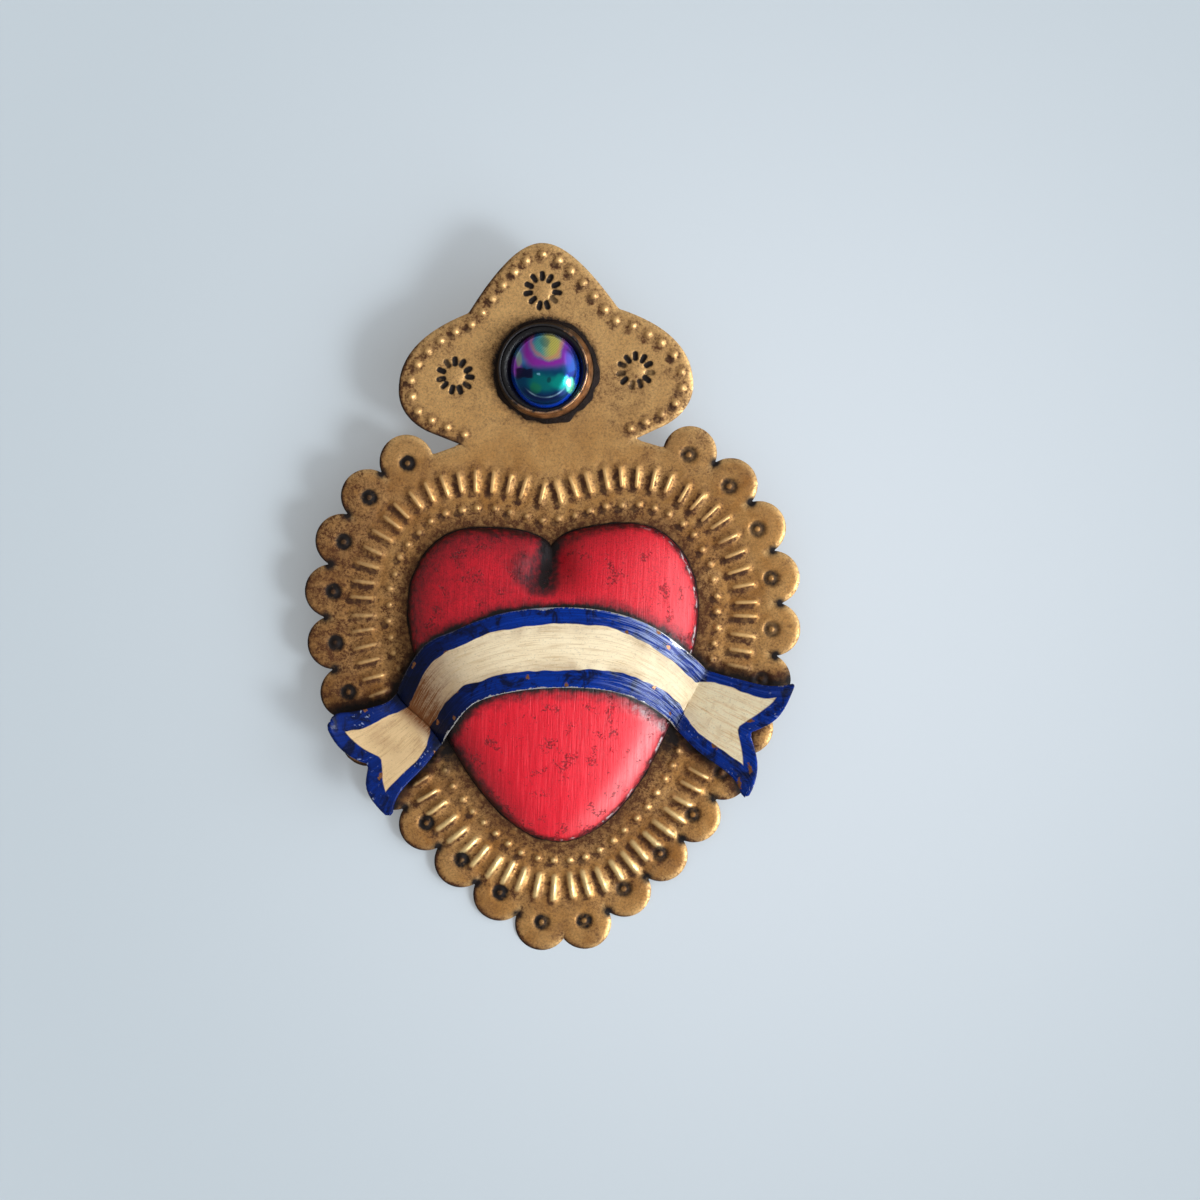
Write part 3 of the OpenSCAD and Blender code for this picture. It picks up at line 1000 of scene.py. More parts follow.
@dataclass
class SheetMesh:
    """Meshes the sheet's outline with small cells at the marks and large ones elsewhere.

    Cells are squares on a whole-numbered grid whose step is the smallest cell.

    Attributes:
        cell: Size of the largest cell, in millimetres.
    """

    cell: float = 1.2
    BIG: ClassVar[int] = 4  # the largest cell, in grid steps
    START: ClassVar[Spot] = (-55.2, -70.1)  # the grid's lower left, in millimetres
    COUNT: ClassVar[Tuple[int, int]] = (92, 131)  # largest cells across and up
    KEY: ClassVar[int] = 10000  # packs a grid point's two numbers into one
    ROUND: ClassVar[Tuple[Tuple[int, int], ...]] = ((0, 0), (1, 0), (0, 1), (1, 1))
    CUT: ClassVar[Tuple[float, float]] = (0.06, 0.94)  # keeps a cut off its cell's corners

    @property
    def fine(self) -> float:
        """Size of the smallest cell, in millimetres."""
        return self.cell / self.BIG

    def wanted(self, p: Array, size: float) -> Array:
        """Picks the cells that must be split.

        Args:
            p: Middles of the cells, in millimetres.
            size: Their size.

        Returns:
            Whether each must be split.
        """
        slack = size * 0.7
        rib_mid, rib_way = PATTERN.ribs()
        along = np.concatenate([rib_mid + rib_way * k for k in (-2.2, -1.1, 0, 1.1, 2.2)])
        near = np.zeros(len(p), bool)
        for places, reach in (
            (PATTERN.beads(), 1.2), (along, 1.15), (PATTERN.rings(), 1.75),
            (PATTERN.petals()[0], 1.1)):
            near |= nearest(p, places) < reach + slack
        if size > self.cell * 0.75:
            near |= np.abs(PATTERN.distance(p)) < size
        hidden = PATTERN.heart_distance(p) < -1.5 - slack
        return (near & ~hidden) | (nearest(right_half(p), PATTERN.cusps()) < 0.9 + slack)

    def leaves(self) -> List[Tuple[Array, int]]:
        """Splits cells until each is small enough for what it holds.

        Returns:
            Lower left corners of the cells in grid steps, with their size, largest first.
        """
        ix, iy = np.meshgrid(*[np.arange(n) * self.BIG for n in self.COUNT], indexing="ij")
        cells = np.stack([ix.ravel(), iy.ravel()], axis=1)
        leaves: List[Tuple[Array, int]] = []
        size = self.BIG
        while True:
            mid = (cells + size / 2) * self.fine + np.array(self.START)
            keep = PATTERN.distance(mid) < size * self.fine * 0.75
            cells, mid = cells[keep], mid[keep]
            if size == 1:
                return leaves + [(cells, 1)]
            cut = self.wanted(mid, size * self.fine)
            leaves.append((cells[~cut], size))
            size //= 2
            cells = np.concatenate([cells[cut] + np.array(o) * size for o in self.ROUND])

    def build(self) -> Tuple[Array, List[List[int]], Array]:
        """Meshes the front and back of the sheet and closes them with a rim.

        Returns:
            Flat points with their height, faces, and each point's distance from the outline.
        """
        leaves = self.leaves()
        keys = np.unique(
            np.concatenate(
                [(c + np.array(o) * s) @ np.array([self.KEY, 1]) for c,
                 s in leaves for o in self.ROUND]))
        grid = np.stack([keys // self.KEY, keys % self.KEY],
                        axis=1) * self.fine + np.array(self.START)
        dist = PATTERN.distance(grid)
        index = {int(k): i for i, k in enumerate(keys)}
        pts: List[Spot] = [tuple(g) for g in grid]
        gap: List[float] = list(-dist)
        cross: Dict[Tuple[int, int], int] = {}
        faces: List[List[int]] = []
        rim: List[Tuple[int, int]] = []

        def crossing(a: int, b: int) -> int:
            """Cuts the line between two grid points where the outline crosses it.

            Args:
                a: One of them.
                b: The other.

            Returns:
                The new point's number, or the old one's if it was cut before.
            """
            key = (a, b) if a < b else (b, a)
            if key not in cross:
                a, b = key
                t = min(self.CUT[1], max(self.CUT[0], dist[a] / (dist[a] - dist[b])))
                pts.append(tuple(grid[a] + t * (grid[b] - grid[a])))
                gap.append(0.0)
                cross[key] = len(pts) - 1
            return cross[key]

        for block, s in leaves:
            sides = ((0, 0, 1, 0), (s, 0, 0, 1), (s, s, -1, 0), (0, s, 0, -1))
            for cx, cy in block.tolist():
                found = [index.get((cx + ox + dx * k) * self.KEY + cy + oy + dy * k) for ox, oy, dx,
                         dy in sides for k in range(s)]
                ring = [i for i in found if i is not None]
                ins = [dist[i] < 0 for i in ring]
                if all(ins):
                    faces.append(ring)
                elif any(ins):
                    poly: List[int] = []
                    gate: List[int] = []
                    for k, i in enumerate(ring):
                        j = (k + 1) % len(ring)
                        if ins[k]:
                            poly.append(i)
                        if ins[k] != ins[j]:
                            poly.append(crossing(i, ring[j]))
                            gate.append(poly[-1])
                    faces.append(poly)
                    rim += [(c, e) for c,
                            e in zip(poly, poly[1:] + poly[:1]) if c in gate and e in gate]
        used = np.unique(np.concatenate([np.array(f) for f in faces]))
        renumber = np.zeros(len(pts), int)
        renumber[used] = np.arange(len(used))
        faces = [renumber[f].tolist() for f in faces]
        flat, outer = np.array(pts)[used], np.array(gap)[used]
        n = len(flat)
        faces += [[i + n for i in reversed(f)] for f in faces]
        faces += [[e, c, c + n, e + n] for c, e in renumber[np.array(rim)].tolist()]
        return (np.concatenate([raised(flat, SHEET), raised(flat)]), faces,
                np.concatenate([outer, outer]))


# Shared finishes


class Effects:
    """The shader groups that the finishes share."""

    def __init__(self) -> None:
        """Builds every group once."""
        self.weather = self._weather()
        self.brush = self._brush()
        self.wash = self._wash()

    @staticmethod
    def _group(name: str, takes: Dict[str, Tuple[Kind, object]],
               gives: Dict[str, Kind]) -> Tuple[Tree, bpy.types.NodeOutputs, bpy.types.NodeInputs]:
        """Starts a shader group.

        Args:
            name: Its name.
            takes: What each input carries, and its default.
            gives: What each output carries.

        Returns:
            The tree, what comes in, and what goes out.
        """
        tree = bpy.data.node_groups.new(name, "ShaderNodeTree")
        for label, (kind, default) in takes.items():
            socket(tree, kind, label, default)
        for label, kind in gives.items():
            socket(tree, kind, label, out=True)
        t = Tree(tree)
        return t, t.add("NodeGroupInput").outputs, t.add("NodeGroupOutput").inputs

    def _weather(self) -> NodeTree:
        """Wear on old painted tin: clustered chips, broad stain, fine pepper and grit.

        Returns:
            The group.
        """
        t, src, sink = self._group(
            "weathering",
            {"Position": (Kind.VECTOR, None), "Chip Size": (Kind.NUMBER, 1.0),
             "Chip Amount": (Kind.NUMBER, 0.3), "Stain Size": (Kind.NUMBER, 9.0)},
            {name: Kind.NUMBER for name in ("Chips", "Stain", "Pepper", "Grit")})
        pos = src["Position"]
        per = t.over(PER_METRE, src["Chip Size"])
        flake = t.noise(pos, per, 4.0, 0.62, 0.3)
        flock = t.noise(pos, t.mul(per, 0.14), 2.0, 0.5)
        edge = t.less(0.78, t.mul(src["Chip Amount"], 0.42))
        edge = t.less(edge, t.span(flock, 0.52, 0.68, 0.0, 0.17))
        t.put(sink["Chips"], t.span(flake, edge, t.plus(edge, 0.07)))
        stain = t.noise(pos, t.over(PER_METRE, src["Stain Size"]), 4.0, 0.6, 0.6)
        t.put(sink["Stain"], t.span(stain, 0.3, 0.72))
        t.put(sink["Pepper"], t.span(t.noise(pos, 2600.0, 2.0, 0.6), 0.56, 0.7))
        t.put(sink["Grit"], t.noise(pos, 1500.0, 4.0, 0.7))
        return t.tree

    def _brush(self) -> NodeTree:
        """Streaks that a brush leaves along the X direction of its input.

        Returns:
            The group.
        """
        t, src, sink = self._group(
            "brush_strokes",
            {"Position": (Kind.VECTOR, None), "Stroke Width": (Kind.NUMBER, 0.3),
             "Stroke Length": (Kind.NUMBER, 9.0)}, {"Streak": Kind.NUMBER, "Height": Kind.NUMBER})
        x, y, z = t.split(src["Position"])
        long = t.over(PER_METRE, src["Stroke Length"])
        thin = t.over(PER_METRE, src["Stroke Width"])
        hairs = t.join(t.mul(x, long), t.mul(y, thin), t.mul(z, 120.0))
        tufts = t.join(t.mul(x, t.mul(long, 0.6)), t.mul(y, t.mul(thin, 0.3)), t.mul(z, 60.0))
        fine = t.noise(hairs, 1.0, 3.0, 0.6, 0.25)
        broad = t.noise(tufts, 1.0, 2.0, 0.5, 0.2)
        both = t.plus(t.mul(fine, 0.6), t.mul(broad, 0.4))
        t.put(sink["Streak"], t.span(both, 0.36, 0.64))
        t.put(sink["Height"], both)
        return t.tree

    def _wash(self) -> NodeTree:
        """Dark antiquing wash left in the hollows, and painted shade, laid over a colour, with ink
        on top.

        Returns:
            The group.
        """
        t, src, sink = self._group(
            "wash_and_painted_shade",
            {"Paint": (Kind.COLOUR, None), "Wash": (Kind.COLOUR, None), "Ink": (Kind.COLOUR, None),
             "Hollow": (Kind.NUMBER, 0.0), "Groove": (Kind.NUMBER, 0.0),
             "Break Up": (Kind.NUMBER, 0.5)}, {"Color": Kind.COLOUR, "Darkness": Kind.NUMBER})
        worn = t.span(src["Break Up"], 0.2, 0.8, 0.55, 1.35, smooth=False)
        hollow = t.math(Op.MULTIPLY, src["Hollow"], worn, clamp=True)
        torn = t.span(src["Break Up"], 0.1, 0.6, 0.75, 1.2)
        groove = t.math(Op.MULTIPLY, src["Groove"], torn, clamp=True)
        shade = t.mix(hollow, src["Paint"], src["Wash"])
        t.put(sink["Color"], t.mix(groove, shade, src["Ink"]))
        t.put(sink["Darkness"], t.most(hollow, groove))
        return t.tree


class Slot(Enum):
    """The record's material slots."""

    GOLD = "antique_gold_tin"
    RED = "red_painted_tin"
    CREAM = "cream_painted_tin"
    COPPER = "copper_tin"
    GLASS = "coated_glass"
    BEDDING = "black_bedding"
    SOLDER = "dark_solder"
    TIN = "bare_tin"


@dataclass(frozen=True)
class Finish:
    """One material slot of the record.

    Attributes:
        slot: Which slot.
    """

    slot: Slot

    def start(self) -> Tuple[Material, Tree, Node]:
        """Starts a material with a Principled shader wired to its output.

        Returns:
            The material, its tree and the shader.
        """
        mat = bpy.data.materials.new(self.slot.value)
        mat.use_nodes = True
        mat.node_tree.nodes.clear()
        t = Tree(mat.node_tree)
        shader = t.add("ShaderNodeBsdfPrincipled")
        out = t.add("ShaderNodeOutputMaterial")
        t.put(out.inputs[0], shader.outputs[0])
        return mat, t, shader

    @staticmethod
    def bump(t: Tree, shader: Node, height: object, depth: float) -> None:
        """Feeds a height, 0 to 1, to the shader's normal.

        Args:
            t: The material's tree.
            shader: Its Principled shader.
            height: The height.
            depth: What a height of 1 stands for, in millimetres.
        """
        n = t.feed(t.add("ShaderNodeBump"), Strength=1.0, Distance=depth * MM, Height=height)
        t.put(shader.inputs["Normal"], n.outputs[0])


@dataclass(frozen=True)
class AntiqueGold(Finish):
    """Brass-coloured lacquer on tin, antiqued with brown that stays in every hollow, with painted
    highlights on its crests and lit edges and painted shade on the side away from the light.
    """

    slot: Slot = Slot.GOLD
    low: Colour = srgb(172, 117, 58)
    mid: Colour = srgb(207, 152, 86)
    # high is the pale tone and the colour of painted highlights; glint is the paler painted
    # highlight of the bottom ribs
    high: Colour = srgb(246, 200, 134)
    glint: Colour = srgb(255, 222, 156)
    wash: Colour = srgb(82, 46, 20)
    ink: Colour = srgb(22, 13, 10)

    def build(self, fx: Effects) -> Material:
        """Builds the material on the plate's stored distances.

        Args:
            fx: The shared effects.

        Returns:
            The material.
        """
        mat, t, shader = self.start()
        pos = t.object_coords()
        weather = t.group(fx.weather, Position=pos, Chip_Size=1.3, Chip_Amount=0.25, Stain_Size=7.0)
        # Lacquer tone, with painted highlights on the rib and bead crests, paler on the bottom
        # ribs, and a painted sheen over the crown
        wide = t.noise(pos, 62.0, 3.0, 0.6, 0.4)
        tone = t.mix(t.span(wide, 0.32, 0.68), self.low, self.mid)
        tone = t.mix(t.mul(weather["Stain"], 0.4), tone, self.high)
        crest = t.read("crest")
        height = t.split(pos)[1]
        foot_end = t.span(height, -0.03, -0.055)
        rib = t.mul(t.read("rib"), t.span(foot_end, 0.0, 1.0, 1.0, 0.56))
        ridge = t.mul(t.fade(rib, 0.08, 0.5), t.span(t.read("ridge"), 0.3, 0.9, 0.45, 1.0))
        bead_highlight = t.mul(t.fade(t.read("bead"), 0.1, 0.8), 0.8)
        tone = t.mix(t.span(height, 0.022, 0.048, 0.0, 0.58), tone, self.high)
        tone = t.mix(t.most(ridge, bead_highlight), tone, t.mix(foot_end, self.high, self.glint))
        # The sheet's edge, with painted highlights where it faces the light and painted shade where
        # it faces away, and the places next to the soldered parts
        heart, edge, gem, lee = [t.read(name) for name in ("heart", "edge", "gem", "lee")]
        scratch = t.noise(t.stretch(pos, (1.0, 1.0, 0.1)), 900.0, 3.0, 0.7, 1.2)
        ragged = t.swing(t.noise(pos, 330.0, 4.0, 0.7, 0.6), 5.0)
        near = t.fade(t.plus(heart, ragged), 0.6, 6.2)
        # A painted highlight along the heart's foot
        line = t.mul(t.bell(heart, 0.75, 0.28), t.span(scratch, 0.35, 0.6))
        tone = t.mix(t.mul(line, 0.4), tone, self.high)
        # Painted highlight on edges facing the light
        rim = t.fade(t.plus(edge, t.mul(ragged, 0.12)), 0.0, 1.6)
        tone = t.mix(t.mul(rim, t.span(lee, 0.0, 1.0, 0.8, 0.0)), tone, self.high)
        # Painted shade on edges facing away from the light
        shade = t.mul(rim, t.span(lee, -0.1, 0.7))
        cusps = t.fade(t.plus(t.read("cusp"), t.mul(ragged, 0.2)), 0.4, 2.5)
        halo = t.fade(t.plus(gem, t.swing(weather["Grit"], 2.4)), 10.6, 11.9)
        soot = t.fade(t.plus(gem, ragged), 10.5, 13.5)
        foot = t.fade(t.plus(heart, t.swing(scratch, 0.9)), 0.1, 0.6)
        fine = t.span(weather["Grit"], 0.42, 0.66)
        # Painted shade and wash on the side of each rib and bead turned from the light, and wash in
        # the rib valleys
        loose = t.swing(t.noise(pos, 800.0, 3.0, 0.7), 1.5)
        bead, punch = t.read("bead"), t.read("punch")
        trough = t.mul(t.fade(t.plus(t.read("rib_lee"), loose), 0.25, 1.6), t.span(rib, 0.2, 0.55))
        trough = t.mul(trough, t.span(t.read("rib_luck"), 0.0, 1.0, 0.75, 1.0))
        trough = t.most(trough, t.mul(t.bell(rib, 1.3, 0.6), 0.35))
        patch = t.mul(t.fade(t.plus(t.read("bead_lee"), loose), 0.6, 1.7), t.span(bead, 0.35, 0.95))
        patch = t.mul(patch, t.span(t.read("bead_luck"), 0.0, 1.0, 0.6, 1.0))
        marks = t.most(trough, t.most(patch, t.mul(t.bell(bead, 1.25, 0.5), 0.5)))
        # Ink in the ring punches and the rosettes; the punches are darker on the side away from the
        # light and their pips lighter toward it, as painted shade and light
        luck = t.read("punch_luck")
        away_from_light = t.span(t.read("across"), -34.0, 30.0)
        pip = t.span(t.span(punch, 0.25, 0.85), 0.0, 1.0,
                     t.mul(t.span(luck, 0.0, 1.0, 0.25, 0.8), away_from_light), 1.0)
        ink = t.mul(pip, t.fade(t.plus(punch, t.mul(loose, 0.45)), 1.35, 2.25))
        ink = t.mul(ink, t.span(t.plus(away_from_light, t.mul(luck, 0.5)), 0.0, 1.2, 0.72, 1.0))
        ink = t.mul(ink, t.span(t.noise(pos, 1100.0, 3.0, 0.7), 0.3, 0.6, 0.8, 1.0))
        dent = t.mul(t.fade(t.plus(t.read("dent"), t.mul(loose, 0.25)), 0.42, 0.8),
                     t.span(t.read("dent_luck"), 0.0, 0.5, 0.6, 1.0))
        ink = t.most(ink, dent)
        # All the wash and painted shade, then all the ink
        # Painted shadow and dirt under and beside the ribbon
        strip = t.plus(t.read("strip"), t.mul(ragged, 0.6))
        hollow = t.most(t.mul(marks, t.span(fine, 0.0, 1.0, 0.8, 1.1)), t.mul(near, 0.74),
                        t.mul(t.fade(strip, 0.6, 4.6), 0.95))
        # Painted shade over the left of the sheet below the crown, where it faces away from the
        # light
        outer = t.mul(t.span(t.read("across"), 22.0, 48.0, 0.0, 0.66), t.fade(height, 0.026, 0.034))
        hollow = t.most(hollow,
                        t.mul(outer, t.span(t.noise(pos, 180.0, 3.0, 0.6), 0.3, 0.6, 0.6, 1.0)),
                        t.mul(shade, 0.95), t.mul(soot, 0.5))
        broad = t.span(t.noise(pos, 95.0, 4.0, 0.65, 0.9), 0.44, 0.7)
        hollow = t.most(hollow, t.mul(broad, 0.42))
        dust_and_sheen = t.mul(t.span(t.noise(pos, 2000.0, 3.0, 0.8), 0.4, 0.66), 0.42)
        grain = t.mul(t.plus(t.mul(t.span(weather["Grit"], 0.34, 0.7), 0.26), dust_and_sheen),
                      t.span(crest, 0.3, 0.8, 1.0, 0.2))
        hollow = t.math(Op.ADD, hollow, grain, clamp=True)
        # Ink at the ribbon's edge is painted shadow; in the corners between the heart and the
        # ribbon's creases it is painted shade and soot; along edges facing away it is painted shade
        groove = t.most(ink, t.mul(t.mul(cusps, cusps), 0.95), t.mul(t.fade(strip, 0.0, 2.5), 0.9))
        corner = t.mul(t.fade(t.plus(heart, ragged), 1.5, 6.0), t.fade(strip, 1.0, 9.0))
        groove = t.most(groove, t.mul(corner, t.span(height, -0.016, -0.024, 0.0, 0.95)),
                        t.most(halo, t.mul(foot, t.span(scratch, 0.35, 0.6, 0.35, 0.95))),
                        t.mul(
                            t.span(marks, 0.6, 1.0), t.span(weather["Grit"], 0.3, 0.65, 0.22, 0.5)),
                        t.mul(t.fade(edge, 0.1, 0.55), t.span(lee, 0.1, 0.8, 0.0, 0.8)),
                        t.mul(weather["Pepper"], 0.1))
        done = t.group(fx.wash, Paint=tone, Wash=self.wash, Ink=self.ink, Hollow=hollow,
                       Groove=groove, Break_Up=t.noise(pos, 700.0, 3.0, 0.6))
        t.feed(shader, Base_Color=done["Color"], Metallic=t.span(done["Darkness"], 0.1, 0.9, 0.7, 0.1),
               Roughness=t.span(done["Darkness"], 0.0, 1.0, 0.34, 0.7), Specular_IOR_Level=0.25)
        rough = t.plus(t.mul(weather["Grit"], 0.5), t.mul(scratch, t.plus(0.25, t.mul(near, 1.2))))
        self.bump(t, shader, rough, 0.1)
        return mat


@dataclass(frozen=True)
class PaintedHeart(Finish):
    """Red paint in upright strokes over tin, blackened at the rim, the cleft and the ribbon, with
    painted shade on its left and painted highlights and sheen on its right.
    """

    slot: Slot = Slot.RED
    red: Colour = srgb(246, 30, 52)
    deep: Colour = srgb(224, 20, 42)
    # light is the colour of the painted highlights on the brush ridges and the right lobe
    light: Colour = srgb(255, 92, 98)
    sheen_tint: Colour = srgb(255, 172, 172)
    crimson: Colour = srgb(84, 14, 26)
    black: Colour = srgb(20, 8, 12)
    bare_tin_and_glare: Colour = srgb(196, 190, 190)

    def build(self, fx: Effects) -> Material:
        """Builds the material on the heart's stored distances.

        Args:
            fx: The shared effects.

        Returns:
            The material.
        """
        mat, t, shader = self.start()
        pos = t.object_coords()
        # Paint, with painted highlights on the brush ridges and the right lobe and a painted sheen
        # on the lower right flank
        up = t.stretch(pos, (1.0, 1.0, 1.0), (0.0, 0.0, math.radians(-86)))
        brush = t.group(fx.brush, Position=up, Stroke_Width=0.28, Stroke_Length=7.0)
        weather = t.group(fx.weather, Position=pos, Chip_Size=0.5, Chip_Amount=0.3, Stain_Size=14.0)
        low = t.span(t.read("down"), -10.0, 8.0)
        paint = t.mix(t.mul(brush["Streak"], t.span(low, 0.0, 1.0, 0.5, 1.0)), self.deep, self.red)
        paint = t.mix(t.mul(t.span(brush["Height"], 0.53, 0.66), t.mul(low, 0.18)), paint,
                      self.light)
        lobe = t.mul(t.span(t.read("side"), 2.0, 22.0), t.span(t.read("down"), 2.0, -6.0))
        paint = t.mix(t.mul(lobe, t.span(brush["Height"], 0.4, 0.62, 0.1, 0.36)), paint, self.light)
        rim = t.read("rim")
        dust_and_sheen = t.mul(t.span(t.read("side"), 12.0, 30.0), t.bell(rim, 3.4, 2.6))
        dust_and_sheen = t.mul(dust_and_sheen, t.span(t.read("down"), 4.0, 16.0, 0.25, 1.0))
        paint = t.mix(t.mul(dust_and_sheen, t.span(brush["Height"], 0.35, 0.6, 0.3, 0.6)), paint, self.sheen_tint)
        # Antiquing stain and painted shade at the rim, over the left side, along the ribbon and in
        # and beside the cleft
        fray = t.swing(weather["Grit"], 3.2)
        smoke = t.noise(pos, 300.0, 4.0, 0.65, 0.5)
        soft = t.less(smoke, 0.5)
        left = t.fade(t.read("side"), -24.0, 22.0)
        edge_dark = t.fade(t.plus(rim, t.mul(soft, 2.6)), 0.1, t.span(left, 0.0, 0.8, 1.5, 5.2))
        tint = t.most(t.mul(edge_dark, 0.95), t.mul(t.fade(rim, 0.5, 9.5), t.mul(left, 0.7)))
        left_lobe_shade = t.mul(t.mul(left, t.fade(t.read("down"), -6.0, 4.0)),
                     t.span(smoke, 0.35, 0.7, 0.22, 0.46))
        tint = t.most(tint, left_lobe_shade)
        speck = t.span(t.noise(pos, 2900.0, 2.0, 0.6), 0.42, 0.66, 0.0,
                       t.span(low, 0.0, 1.0, 0.2, 0.1))
        tint = t.math(Op.ADD, tint, speck, clamp=True)
        band = t.read("ribbon")
        band_dark = t.fade(t.plus(band, t.plus(t.mul(soft, 4.2), fray)), 0.0, 4.2)
        calm = t.mul(t.bell(t.read("mid"), 1.5, 4.5), t.fade(t.read("down"), -4.0, 0.0))
        band_dark = t.mul(band_dark, t.less(1.0, t.mul(calm, 0.65)))
        tint = t.most(tint, t.mul(band_dark, 0.85))
        cleft = t.read("cleft")
        beside = t.mul(t.bell(t.read("mid"), -5.8, 3.8), t.bell(t.read("down"), -16.2, 4.8))
        tint = t.most(tint, t.mul(beside, t.span(smoke, 0.3, 0.7, 0.7, 1.0)),
                      t.mul(t.span(t.plus(cleft, t.mul(soft, 0.35)), 0.02, 0.7), 0.95))
        # Soot and painted shade, darkest at the lower left
        under = t.mul(t.span(left, 0.3, 0.6), t.span(t.read("down"), 4.0, 14.0))
        ink = t.fade(t.plus(rim, t.plus(t.mul(soft, 3.4), t.mul(fray, 0.2))), -0.3,
                     t.span(under, 0.0, 1.0, 0.9, 3.0))
        ink = t.mul(ink, t.span(left, 0.0, 0.8, 0.5, 0.85))
        soot_and_shade = t.mul(t.span(t.read("side"), -6.0, -20.0),
                      t.span(t.read("down"), 4.0, 8.0, 0.0, 3.2))
        ink = t.most(ink, t.fade(t.plus(band, t.mul(soft, 2.6)), 0.0, t.plus(soot_and_shade, 1.3)),
                     t.mul(t.span(t.plus(t.read("vee"), t.mul(soft, 0.5)), 0.45, 0.95), 0.97),
                     t.mul(t.span(t.plus(cleft, t.mul(soft, 0.5)), 0.3, 0.9), 0.5),
                     t.mul(beside, t.span(smoke, 0.3, 0.7, 0.2, 0.5)), t.mul(weather["Chips"], 0.5),
                     t.mul(weather["Pepper"], t.span(low, 0.0, 1.0, 0.34, 0.12)))
        # Painted glare below the ribbon on the right, in the colour of bare tin
        glare = t.mul(t.bell(band, 1.6, 1.5),
                      t.mul(t.span(t.read("side"), 17.0, 24.0), t.span(smoke, 0.4, 0.6)))
        paint = t.mix(t.mul(glare, t.span(t.read("down"), 4.0, 9.0, 0.0, 0.8)), paint, self.bare_tin_and_glare)
        done = t.group(fx.wash, Paint=paint, Wash=self.crimson, Ink=self.black, Hollow=tint,
                       Groove=ink, Break_Up=t.noise(pos, 900.0, 3.0, 0.6))
        # Painted glints where the bare rim faces the light
        lit = t.mul(t.span(t.read("side"), 6.0, 26.0), t.bell(rim, 0.42, 0.2))
        lit = t.mul(lit, t.span(t.noise(pos, 420.0, 3.0, 0.7), 0.5, 0.58))
        t.feed(shader, Base_Color=t.mix(lit, done["Color"], self.bare_tin_and_glare), Specular_IOR_Level=0.36,
               Roughness=t.span(brush["Height"], 0.3, 0.7, 0.36, 0.5))
        self.bump(t, shader, t.plus(brush["Height"], t.mul(weather["Chips"], -0.5)), 0.2)
        return mat


